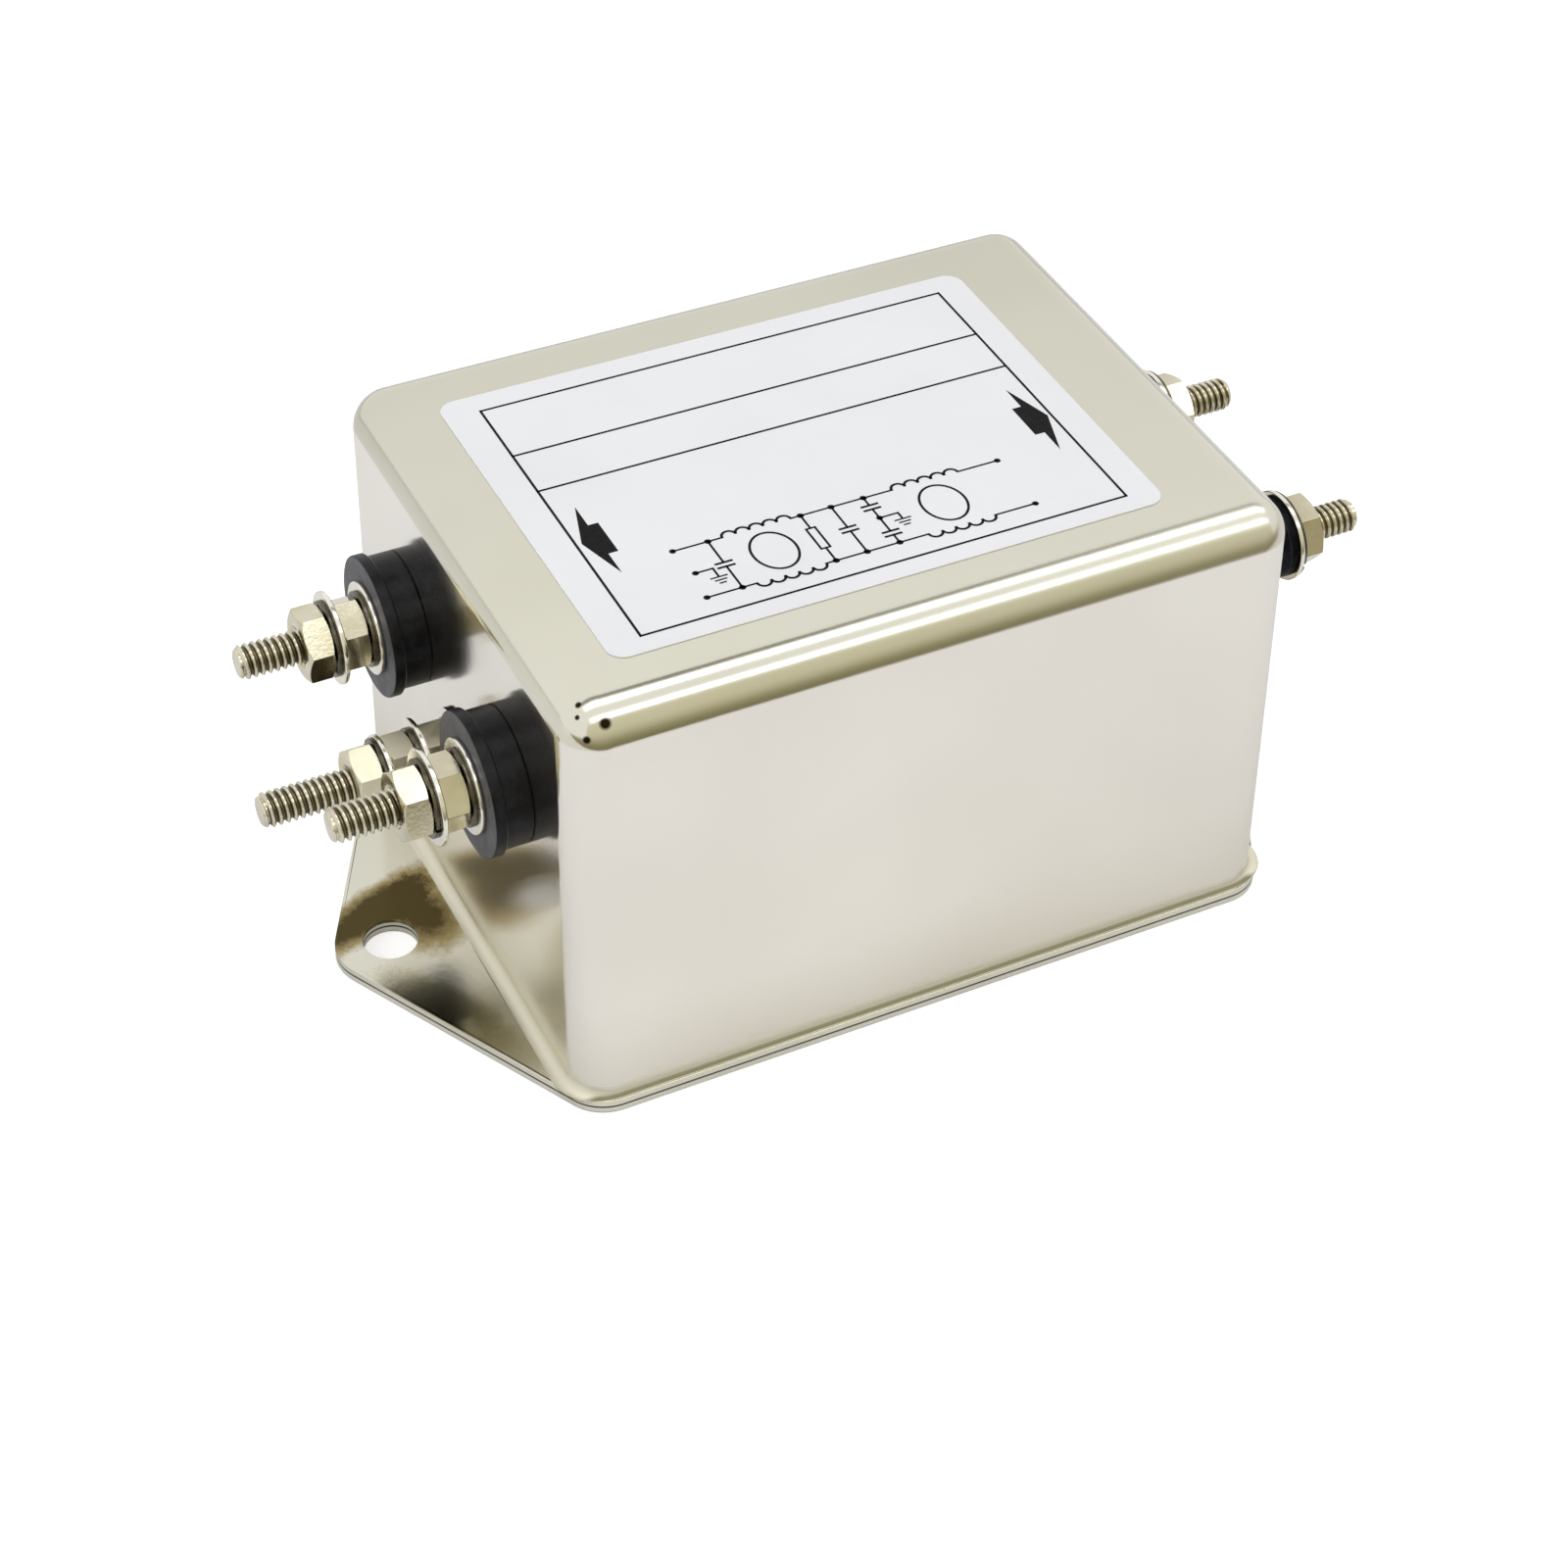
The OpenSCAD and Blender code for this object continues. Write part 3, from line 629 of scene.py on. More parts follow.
def disc(x, y, radius, sides):
    deselect()
    bpy.ops.mesh.primitive_circle_add(vertices=sides, radius=radius * MM, fill_type="NGON",
                                      location=(x * MM, y * MM, sticker_top * MM))
    return bpy.context.active_object


def ring(x, y, radius, width, half=0, sides=48, squeeze=1.0):
    """A circle line, squeezed along X, or with half = 1 or -1 only its upper or lower half."""
    obj = disc(x, y, radius + width / 2, sides)
    obj.scale.x = squeeze
    bpy.ops.object.transform_apply(location=True, scale=True)
    edit(obj, kind="FACE")
    bpy.ops.mesh.inset(thickness=width * MM)
    bpy.ops.mesh.delete(type="FACE")
    if half:
        bpy.ops.mesh.select_all(action="SELECT")
        bpy.ops.mesh.bisect(plane_co=(0, y * MM, 0), plane_no=(0, half, 0), clear_inner=True)
    ink_done(obj)


def dot(x, y, radius=0.36):
    obj = disc(x, y, radius, 24)
    bpy.ops.object.transform_apply(location=True)
    ink_done(obj)


def patch(points):
    """A filled outline through the points."""
    obj = chain("patch", [(x, y, sticker_top) for x, y in points])
    bpy.ops.mesh.select_all(action="SELECT")
    bpy.ops.mesh.edge_face_add()
    ink_done(obj)


def coil(x, y, bumps, radius, half):
    """A row of half rings along X."""
    for k in range(bumps):
        ring(x + radius + 2 * radius * k, y, radius, 0.3, half, 28)


def wire(width, *points):
    """Bars of one width from point to point."""
    for start, end in zip(points, points[1:]):
        bar(*start, *end, width)


print("ink tools ready")

# %% Frame, rules and arrows
FRAME_X0, FRAME_X1, FRAME_Y0, FRAME_Y1 = -29.4, 25.4, -21.9, 20.1
FRAME_W = 0.28
RULES_Y = (11.1, 4.3)
wire(FRAME_W, (FRAME_X0, FRAME_Y0), (FRAME_X1, FRAME_Y0), (FRAME_X1, FRAME_Y1),
     (FRAME_X0, FRAME_Y1), (FRAME_X0, FRAME_Y0))
for y in RULES_Y:
    wire(FRAME_W, (FRAME_X0, y), (FRAME_X1, y))

ARROW_Y = -5.8
ARROW_HEAD_L, ARROW_HEAD_W = 1.8, 12.0
ARROW_STEM_L, ARROW_STEM_W = 1.1, 5.2


def arrow(tip_x, sense):
    """A squat block arrow: a broad head and a short stem, pointing along sense."""
    neck = tip_x - sense * ARROW_HEAD_L
    tail = neck - sense * ARROW_STEM_L
    head, stem = ARROW_HEAD_W / 2, ARROW_STEM_W / 2
    outline = [(tip_x, 0), (neck, head), (neck, stem), (tail, stem),
               (tail, -stem), (neck, -stem), (neck, -head)]
    patch([(x, ARROW_Y + up) for x, up in outline])


arrow(-28.8, -1)
arrow(25.0, 1)
print("ink shapes so far:", len(ink))

# %% [markdown]
# The circuit: two common-mode chokes, each with a winding in the upper and in the lower line
# and its core drawn as a circle, with capacitors and a bleed resistor between the lines.

# %% Circuit drawing
TOP_Y, LOW_Y = -10.8, -19.1
MID_Y = (TOP_Y + LOW_Y) / 2
LINE_W = 0.24
BUMPS, BUMP_R = 5, 0.77
COIL_L = 2 * BUMPS * BUMP_R
CORE_R, CORE_SQUEEZE = 3.1, 0.78
COIL_X = (-15.5, 3.8)
ENDS_X = (-21.0, 16.2)
for y, side in ((TOP_Y, 1), (LOW_Y, -1)):
    for x in COIL_X:
        coil(x, y, BUMPS, BUMP_R, side)
    bar(ENDS_X[0], y, COIL_X[0], y, LINE_W)
    bar(COIL_X[0] + COIL_L, y, COIL_X[1], y, LINE_W)
    bar(COIL_X[1] + COIL_L, y, ENDS_X[1], y, LINE_W)
    for x in ENDS_X:
        dot(x, y)
for x in COIL_X:
    ring(x + COIL_L / 2 + 0.05, MID_Y, CORE_R, 0.28, squeeze=CORE_SQUEEZE)
print("ink shapes so far:", len(ink))

# %% Capacitors, resistor and earth signs
PLATE_L, PLATE_GAP = 1.7, 0.7


def capacitor(x, y):
    """Two plates across an upright line."""
    for side in (1, -1):
        plate_y = y + side * PLATE_GAP / 2
        bar(x - PLATE_L / 2, plate_y, x + PLATE_L / 2, plate_y)


def crossing(x, gap):
    """An upright line from the upper to the lower conductor, open round its middle by gap."""
    for y, side in ((TOP_Y, 1), (LOW_Y, -1)):
        bar(x, y, x, MID_Y + side * gap, LINE_W)
        dot(x, y, 0.38)


def to_earth(x, y, reach, fall):
    """A line from a dot to the right and down to the earth sign, three bars that shorten."""
    end_x, low_y = x + reach, y - fall
    dot(x, y)
    wire(LINE_W, (x, y), (end_x, y), (end_x, low_y))
    for number in range(3):
        half, bar_y = 0.85 - 0.28 * number, low_y - 0.1 - 0.5 * number
        bar(end_x - half, bar_y, end_x + half, bar_y, 0.2)


for x in (-17.1, -3.2):
    capacitor(x, MID_Y)
    crossing(x, PLATE_GAP / 2)

RESISTOR_X, RESISTOR_W, RESISTOR_H = -6.7, 0.5, 1.8
crossing(RESISTOR_X, RESISTOR_H)
for side in (-1, 1):
    x, y = RESISTOR_X + side * RESISTOR_W, MID_Y + side * RESISTOR_H
    bar(x, MID_Y - RESISTOR_H, x, MID_Y + RESISTOR_H, LINE_W)
    bar(RESISTOR_X - RESISTOR_W, y, RESISTOR_X + RESISTOR_W, y, LINE_W)

# two capacitors in line, with the earth tapped between them, and the line that has its own
PAIR_X, PAIR_Y = 0.5, 2.4
EARTH_TAP_X = -20.4
for side in (-1, 1):
    capacitor(PAIR_X, MID_Y + side * PAIR_Y)
crossing(PAIR_X, PAIR_Y + PLATE_GAP / 2)
inner = PAIR_Y - PLATE_GAP / 2
bar(PAIR_X, MID_Y - inner, PAIR_X, MID_Y + inner, LINE_W)
to_earth(PAIR_X, MID_Y + 0.4, 2.1, 1.0)
to_earth(EARTH_TAP_X, MID_Y - 0.1, 1.9, 1.4)
sticker_print = join(ink, "sticker_print")
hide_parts("label")
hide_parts("label")
print("print faces:", len(sticker_print.data.polygons))

# %% [markdown]
# Finishes come next. Each one is a small node tree on Object coordinates, so it stays put on
# its piece. The helpers below make noise, ramps and mixes of colours, and the last one links
# a colour, a roughness and a fine grain to the shader; each finish then adds what is its own.

# %% Helpers for materials
def node_of(tree, kind, **inputs):
    made = tree.nodes.new(kind)
    for key, value in inputs.items():
        made.inputs[key].default_value = value
    return made


def feed(tree, value, socket):
    """Links an output to the socket, or sets the socket to a number or a colour."""
    if isinstance(value, (int, float)):
        socket.default_value = value
    elif isinstance(value, tuple):
        socket.default_value = (*value, 1.0)
    else:
        tree.links.new(value, socket)


def finish_named(name):
    material = bpy.data.materials.new(name)
    material.use_nodes = True
    tree = material.node_tree
    return material, tree, tree.nodes["Principled BSDF"]


def object_place(tree):
    return tree.nodes.new("ShaderNodeTexCoord").outputs["Object"]


def axes(tree, vector):
    split = tree.nodes.new("ShaderNodeSeparateXYZ")
    tree.links.new(vector, split.inputs["Vector"])
    return split.outputs


def grey(value):
    return (value, value, value)


print("socket helpers ready")

# %% Noise, ramps and mixes
def noise(tree, scale, detail=3.0, rough=0.5, stretch=None):
    made = node_of(tree, "ShaderNodeTexNoise", Scale=scale, Detail=detail, Roughness=rough)
    source = object_place(tree)
    if stretch:
        mapping = node_of(tree, "ShaderNodeMapping", Scale=stretch)
        tree.links.new(source, mapping.inputs["Vector"])
        source = mapping.outputs["Vector"]
    tree.links.new(source, made.inputs["Vector"])
    return made.outputs["Fac"]


def ramp(tree, factor, stops):
    made = tree.nodes.new("ShaderNodeValToRGB")
    elements = made.color_ramp.elements
    while len(elements) < len(stops):
        elements.new(0.5)
    for element, (position, colour) in zip(elements, stops):
        element.position = position
        element.color = (*colour, 1.0)
    tree.links.new(factor, made.inputs["Fac"])
    return made.outputs["Color"]


def spread(tree, factor, low, high):
    """Maps 0..1 to low..high."""
    made = tree.nodes.new("ShaderNodeMapRange")
    made.inputs["To Min"].default_value = low
    made.inputs["To Max"].default_value = high
    tree.links.new(factor, made.inputs["Value"])
    return made.outputs["Result"]


def calculate(tree, operation, *values):
    made = tree.nodes.new("ShaderNodeMath")
    made.operation = operation
    for value, socket in zip(values, made.inputs):
        feed(tree, value, socket)
    return made.outputs[0]


def mix(tree, factor, one, two, blend="MIX"):
    made = tree.nodes.new("ShaderNodeMix")
    made.data_type = "RGBA"
    made.blend_type = blend
    feed(tree, factor, made.inputs["Factor"])
    feed(tree, one, made.inputs[6])
    feed(tree, two, made.inputs[7])
    return made.outputs[2]


def times(tree, one, two):
    return mix(tree, 1.0, one, two, "MULTIPLY")


def coat(tree, shader, colour, roughness, grain, strength, depth, detail=3.0):
    """Links colour and roughness to the shader, and a grain of fine noise to its normal."""
    tree.links.new(colour, shader.inputs["Base Color"])
    tree.links.new(roughness, shader.inputs["Roughness"])
    bump = node_of(tree, "ShaderNodeBump", Strength=strength, Distance=depth)
    tree.links.new(noise(tree, grain, detail), bump.inputs["Height"])
    tree.links.new(bump.outputs["Normal"], shader.inputs["Normal"])


print("material helpers ready")

# %% [markdown]
# Nickel plate is a slightly yellow, bright metal. It is smooth but not a perfect mirror: the sheet
# keeps a faint orange-peel from the press and a soft haze in patches. The same recipe with other
# numbers serves the nuts, the washers and the studs. On the can and the base plate a function by
# place paints light and shade into the colour, and stains on the can, and changes the roughness.

# %% Nickel plate
def nickel(name, pale, warm, rough, haze, peel, patch_scale=30.0, peel_scale=900.0, place_paint=None):
    material, tree, shader = finish_named(name)
    shader.inputs["Metallic"].default_value = 1.0
    patches = noise(tree, patch_scale, 2.0)
    colour = ramp(tree, patches, [(0.35, pale), (0.65, warm)])
    roughness = spread(tree, noise(tree, patch_scale * 4, 4.0, 0.6), rough, rough + haze)
    if place_paint:
        colour, roughness = place_paint(tree, colour, roughness, patches)
    coat(tree, shader, colour, roughness, peel_scale, peel, 0.00002, 2.0)
    return material


print("nickel recipe ready")

# %% [markdown]
# The can isn't equally bright all over. Light and shade are painted into its colour, besides
# stains and changes of roughness, and each is a mask by place in millimetres, or by the way the
# surface faces. A painted texture could do the same, but a mask stays sharp and moves with one
# number. The top is painted a little darker towards the back and the load end, as painted shade,
# and so is the rounded edge over the line end.

# %% Masks by place, and the top
def along(tree, coordinate, low, high, stops):
    """A ramp over low..high millimetres of one coordinate."""
    made = tree.nodes.new("ShaderNodeMapRange")
    made.inputs["From Min"].default_value = low * MM
    made.inputs["From Max"].default_value = high * MM
    tree.links.new(coordinate, made.inputs["Value"])
    shares = [((at - low) / (high - low), tone) for at, tone in stops]
    return ramp(tree, made.outputs["Result"], shares)


# Painted shade: the top darkens towards the back and the load end, and the rounded edge over the
# line end darkens too.
def top_painted_shade(tree, colour, here, facing):
    back = along(tree, here["Y"], -30, 30, [(-28, grey(1)), (28, grey(0.89))])
    load_end = along(tree, here["X"], -40, 40, [(-30, grey(1)), (36, grey(0.93))])
    edge = ramp(tree, spread(tree, facing["X"], 0, -1),
                [(0.12, grey(1)), (0.3, grey(0.86)), (0.85, grey(0.86)), (0.97, grey(1))])
    for tone in (back, load_end, edge):
        colour = times(tree, colour, tone)
    return colour


print("masks ready")

# %% [markdown]
# A brown and a black patch on each ear are partly stain and partly painted reflection of the dark
# parts nearby. A spherical gradient that a Mapping node turns and stretches gives an oval, and
# fine noise added to it before a steep ramp makes its rim ragged.

# %% Stains and painted reflections on the ears
def stain_and_reflection_patch(tree, x, y, length, width, turn, edge, grain):
    """A ragged oval patch on both ears: 1 inside it and 0 outside."""
    here = axes(tree, object_place(tree))
    both = tree.nodes.new("ShaderNodeCombineXYZ")
    tree.links.new(calculate(tree, "ABSOLUTE", here["X"]), both.inputs["X"])
    tree.links.new(here["Y"], both.inputs["Y"])
    mapping = node_of(
        tree, "ShaderNodeMapping", Location=(x * MM, y * MM, 0),
        Rotation=(0, 0, math.radians(turn)), Scale=(length * MM, width * MM, 1))
    mapping.vector_type = "TEXTURE"
    tree.links.new(both.outputs["Vector"], mapping.inputs["Vector"])
    oval = tree.nodes.new("ShaderNodeTexGradient")
    oval.gradient_type = "SPHERICAL"
    tree.links.new(mapping.outputs["Vector"], oval.inputs["Vector"])
    ragged = calculate(tree, "MULTIPLY_ADD", noise(tree, grain, 6.0, 0.8), 0.5,
                       oval.outputs["Fac"])
    return ramp(tree, ragged, [(0.42, grey(0)), (0.42 + edge, grey(1))])


def ears_stain_and_reflection(tree, colour, here):
    # The brown and the black patch are partly stain and partly painted reflection.
    on_ear = along(tree, here["Z"], 1, 3, [(1.7, grey(1)), (2.2, grey(0))])
    brown = mix(tree, 1.0, stain_and_reflection_patch(tree, 50.3, 4.9, 14, 4.4, -25, 0.45, 800),
                stain_and_reflection_patch(tree, 45.4, 2.0, 6.6, 8.6, 0, 0.8, 800), "ADD")
    black = stain_and_reflection_patch(tree, 48.4, -12.4, 12.5, 4.2, 62, 0.35, 1800)
    brown_tone = ramp(tree, times(tree, brown, on_ear),
                      [(0, grey(1)), (0.5, (0.46, 0.38, 0.21)), (1, (0.115, 0.09, 0.04))])
    black_tone = ramp(tree, times(tree, black, on_ear),
                      [(0, grey(1)), (0.4, (0.85, 0.83, 0.76)), (1, (0.66, 0.64, 0.52))])
    return times(tree, colour, times(tree, brown_tone, black_tone))


print("stains ready")

# %% [markdown]
# The long front edge is polished at the line end and hazier towards the load end. The upright
# walls are painted paler than the top, as painted light, and towards their foot they are rougher
# and painted darker, as painted shade. Their roughness stays under 0.27: above it Cycles takes the
# metal as diffuse when it guides the denoiser, and a thin line would show where the roughness
# crosses that value.

# %% Front edge and walls
WALL_ROUGH_LOW, WALL_ROUGH_HIGH = 0.262, 0.14


def hazy_front_edge(tree, roughness, here):
    on_edge = along(tree, here["Y"], -33, -26, [(-28.4, grey(1)), (-27.4, grey(0))])
    load_end = along(tree, here["X"], -41, 41, [(-30, grey(0)), (36, grey(1))])
    return mix(tree, times(tree, on_edge, load_end), roughness, grey(0.24))


def walls_painted_light_and_shade(tree, colour, roughness, here, facing, patches):
    # Painted light: the upright walls are painted paler than the top. Painted shade: they darken
    # towards the foot.
    walls = ramp(tree, patches, [(0.35, (0.86, 0.83, 0.77)), (0.65, (0.82, 0.785, 0.72))])
    shaded_foot = along(tree, here["Z"], 0, 20, [(2.5, (0.90, 0.90, 0.87)), (14, grey(1))])
    upright = ramp(tree, facing["Z"], [(0.01, grey(1)), (0.09, grey(0))])
    wall_rough = along(tree, here["Z"], 0, 40,
                       [(3, grey(WALL_ROUGH_LOW)), (26, grey(WALL_ROUGH_HIGH))])
    return (mix(tree, upright, colour, times(tree, walls, shaded_foot)),
            mix(tree, upright, roughness, wall_rough))


print("walls ready")

# %% [markdown]
# The bend at the foot is rough. At the ends it is painted cream, a painted highlight of the white
# floor, and along the narrow lip it is painted dark, as painted shade in the bend. A few small
# dark dots on one upper corner are painted reflections, and the seam between the lip and the base
# plate is painted dark, as painted shade.

# %% Bend, painted reflection dots and painted seam shade
# Painted shade: the colour of the dark line along the seam between the lip and the base plate, and
# along the base plate's foot.
SHADE_LINE_COLOUR = (0.14, 0.135, 0.11)
# Painted reflections: dark dots on one upper corner, each a middle and a radius in millimetres.
REFLECTION_DOTS = [((-37.0, -30.7, 50.8), 0.75), ((-38.7, -28.2, 51.8), 0.42),
         ((-39.2, -29.1, 51.1), 0.32), ((-39.0, -30.8, 49.5), 0.5)]


def bend_painted_light_and_shade(tree, colour, roughness, here):
    in_bend = along(tree, here["Z"], 1.6, 3.6, [(1.6, grey(0)), (1.625, grey(1)),
                                                (2.3, grey(1)), (3.1, grey(0))])
    on_lip = along(tree, calculate(tree, "ABSOLUTE", here["Y"]), 25, 35,
                   [(30.8, grey(0)), (31.4, grey(1))])
    # Painted shade and highlight: dark low in the lip's bend, cream in the bend at the ends.
    lip_shade_tone = along(tree, here["Z"], 1.6, 2.6, [
        (1.62, (0.20, 0.195, 0.12)), (1.78, (0.24, 0.23, 0.15)),
        (1.92, (0.60, 0.58, 0.48)), (2.2, (0.80, 0.77, 0.68))])
    tone = mix(tree, on_lip, (0.74, 0.71, 0.58), lip_shade_tone)
    return mix(tree, in_bend, colour, tone), mix(tree, in_bend, roughness, grey(0.5))


def corner_reflection_dots(tree, colour):
    for middle, radius in REFLECTION_DOTS:
        gap = tree.nodes.new("ShaderNodeVectorMath")
        gap.operation = "DISTANCE"
        tree.links.new(object_place(tree), gap.inputs[0])
        gap.inputs[1].default_value = [v * MM for v in middle]
        spot = along(tree, gap.outputs["Value"], 0, radius,
                     [(radius * 0.55, grey(1)), (radius, grey(0))])
        colour = mix(tree, spot, colour, (0.02, 0.016, 0.006))
    return colour


# Paints light, shade and stains into the can's colour by place, and changes its roughness.
def can_light_shade_and_stains(tree, colour, roughness, patches):
    here = axes(tree, object_place(tree))
    facing = axes(tree, tree.nodes.new("ShaderNodeNewGeometry").outputs["Normal"])
    colour = ears_stain_and_reflection(tree, top_painted_shade(tree, colour, here, facing), here)
    roughness = hazy_front_edge(tree, roughness, here)
    colour, roughness = walls_painted_light_and_shade(tree, colour, roughness, here, facing, patches)
    colour, roughness = bend_painted_light_and_shade(tree, colour, roughness, here)
    # Painted shade along the seam at the foot of the lip.
    seam_shade = along(tree, here["Z"], 0.5, 1.1, [(0.90, grey(1)), (0.98, grey(0))])
    return mix(tree, seam_shade, corner_reflection_dots(tree, colour), SHADE_LINE_COLOUR), roughness


# Painted shade: the base plate's top edge, at the seam, and its foot on the floor are painted
# dark.
def base_painted_shade(tree, colour, roughness, patches):
    z = axes(tree, object_place(tree))["Z"]
    seam_shade = along(tree, z, 0.5, 1.1, [(0.66, grey(0)), (0.72, grey(1))])
    shaded_foot = along(tree, z, 0, 0.4, [(0.06, grey(1)), (0.14, grey(0))])
    return mix(tree, mix(tree, 1.0, seam_shade, shaded_foot, "LIGHTEN"), colour, SHADE_LINE_COLOUR), roughness


print("wear ready, with", len(REFLECTION_DOTS), "reflection_dots")

# %% Metal finishes
can_finish = nickel("nickel can", (0.735, 0.715, 0.605), (0.695, 0.675, 0.56),
                    0.10, 0.07, 0.25, place_paint=can_light_shade_and_stains)
base_finish = nickel("nickel base plate", (0.78, 0.76, 0.67), (0.72, 0.70, 0.61),
                     0.16, 0.12, 0.25, place_paint=base_painted_shade)
nut_finish = nickel("nickel nut", (0.68, 0.64, 0.49), (0.56, 0.51, 0.36),
                    0.09, 0.10, 0.35, 220, 2500)
earth_nut_finish = nickel("nickel earth nut", (0.80, 0.76, 0.60), (0.68, 0.63, 0.46),
                          0.34, 0.10, 0.35, 220, 2500)
washer_finish = nickel("nickel washer", (0.86, 0.84, 0.76), (0.78, 0.75, 0.65),
                       0.10, 0.10, 0.3, 300, 2500)
# The spring washers are coloured nearly black, as painted shade where they sit recessed between
# the nut and the flat washer.
spring_shade_finish = nickel("spring steel", (0.15, 0.135, 0.10), (0.09, 0.08, 0.06),
                       0.2, 0.14, 0.4, 300, 2500)
stud_finish = nickel("nickel thread", (0.74, 0.70, 0.57), (0.60, 0.56, 0.43),
                     0.16, 0.12, 0.4, 350, 3000)
groove_finish = nickel("thread groove", (0.21, 0.185, 0.115), (0.12, 0.105, 0.062),
                       0.3, 0.15, 0.4, 350, 3000)
print("metal finishes made")

# %% [markdown]
# The bushings are a black moulding. Their sides have a soft gloss with a few grey scuffs, and the
# flat outer face, which the washer bears on, is painted a lighter matt grey, as painted light. The
# face is found by its place along X, which is the same for the two bushings of an end.

# %% Moulded black
def moulded(name, gloss, face_planes):
    material, tree, shader = finish_named(name)
    shader.inputs["Specular IOR Level"].default_value = gloss
    scuffs = noise(tree, 420.0, 5.0, 0.7)
    side = ramp(tree, scuffs, [(0.45, (0.003, 0.003, 0.004)), (0.80, (0.02, 0.021, 0.026))])
    # Painted light: the flat outer face is a lighter grey than the sides.
    face = ramp(tree, noise(tree, 900.0, 4.0),
                [(0.3, (0.04, 0.04, 0.047)), (0.7, (0.065, 0.066, 0.076))])
    x = axes(tree, object_place(tree))["X"]
    is_face = 0.0
    for plane in face_planes:
        near = calculate(tree, "COMPARE", x, plane * MM, 0.03 * MM)
        is_face = calculate(tree, "MAXIMUM", is_face, near)
    coat(tree, shader, mix(tree, is_face, side, face), spread(tree, scuffs, 0.26, 0.5),
         1500.0, 0.3, 0.00003, 2.0)
    return material


line_bushing_finish = moulded("black moulding line", 0.18, (-CAN_X - BUSH_H,))
load_bushing_finish = moulded("black moulding load", 0.03,
                              (CAN_X + BUSH_H, CAN_X + load_back, CAN_X + load_front))
print("moulding finishes made")

# %% [markdown]
# The sticker is satin film, very slightly cool and uneven, and its ink is a dense black that
# lies a little rough on top.

# %% Sticker and ink
sticker_finish, tree, shader = finish_named("satin sticker")
shader.inputs["Specular IOR Level"].default_value = 0.35
film = ramp(tree, noise(tree, 60.0), [(0.3, (0.86, 0.865, 0.885)), (0.7, (0.90, 0.905, 0.92))])
coat(tree, shader, film, spread(tree, noise(tree, 200.0), 0.32, 0.42), 700.0, 0.15, 0.00002, 2.0)

ink_finish, tree, shader = finish_named("printing ink")
shader.inputs["Specular IOR Level"].default_value = 0.1
black = ramp(tree, noise(tree, 1500.0),
             [(0.3, (0.002, 0.002, 0.002)), (0.8, (0.008, 0.008, 0.009))])
coat(tree, shader, black, spread(tree, noise(tree, 900.0), 0.4, 0.6), 2500.0, 0.2, 0.00001)
print("sticker finishes made")

# %% [markdown]
# Inside the can, out of sight, are the parts that do the work. They keep their solid shapes
# and get finishes of their own: speckled ferrite, enamelled copper, resin, laminate, tinned
# brass, and the coloured bodies of capacitors and resistor.

# %% Finishes of the inner parts
def plain_finish(name, one, two, scale, rough, metallic=0.0, grain=0.3, grain_scale=1200.0,
                 stretch=None):
    material, tree, shader = finish_named(name)
    shader.inputs["Metallic"].default_value = metallic
    colour = ramp(tree, noise(tree, scale, 4.0, 0.6, stretch), [(0.38, one), (0.62, two)])
    coat(tree, shader, colour, spread(tree, noise(tree, scale * 2), rough, rough + 0.15),
         grain_scale, grain, 0.00004)
    return material


INNER = {
    "ferrite": plain_finish("speckled ferrite", (0.02, 0.021, 0.023), (0.05, 0.052, 0.056),
                            1400, 0.35),
    "enamel_wire": plain_finish("enamelled copper", (0.62, 0.22, 0.07), (0.48, 0.15, 0.045),
                                500, 0.18, 0.85),
    "potting": plain_finish("cast resin", (0.012, 0.011, 0.010), (0.03, 0.027, 0.024),
                            120, 0.22, grain=0.6, grain_scale=160),
    "board": plain_finish("board laminate", (0.36, 0.25, 0.09), (0.45, 0.33, 0.13),
                          300, 0.45, stretch=(1, 12, 1)),
    "lug": plain_finish("tinned brass", (0.72, 0.66, 0.52), (0.64, 0.52, 0.31), 260, 0.25, 1.0),
    "inner_ring": plain_finish("matt moulding", (0.02, 0.02, 0.022), (0.035, 0.035, 0.04),
                               700, 0.5),
    "x_capacitor": plain_finish("yellow case", (0.72, 0.50, 0.04), (0.80, 0.58, 0.07), 200, 0.4),
    "y_capacitor": plain_finish("blue lacquer", (0.03, 0.14, 0.42), (0.05, 0.20, 0.52), 350, 0.25),
    "resistor": plain_finish("pale blue lacquer", (0.22, 0.42, 0.52), (0.30, 0.50, 0.60),
                             400, 0.3),
    "lead": plain_finish("dark insulation", (0.02, 0.025, 0.035), (0.035, 0.04, 0.055), 600, 0.4),
}

# The earth lead is green with a yellow stripe that winds round it.
earth_lead_finish, tree, shader = finish_named("earth insulation")
wave = node_of(tree, "ShaderNodeTexWave", Scale=140.0, Distortion=0.4)
wave.bands_direction = "DIAGONAL"
tree.links.new(object_place(tree), wave.inputs["Vector"])
stripe = ramp(tree, wave.outputs["Fac"], [(0.62, (0.02, 0.22, 0.05)), (0.66, (0.80, 0.62, 0.04))])
coat(tree, shader, stripe, spread(tree, noise(tree, 500.0), 0.38, 0.5), 1500.0, 0.2, 0.00002)
INNER["earth_lead"] = earth_lead_finish
print("inner finishes:", sorted(INNER))

# %% [markdown]
# Now every piece gets its finish and rides on the one body of this part; the table also lists the
# material slot that each piece stands for. The inner parts keep the meshes of the imported model
# and only get the new finish in their slot. On the studs, the faces deep in the thread get a
# finish of their own, because dirt and shadow make the grooves of a small thread dark.

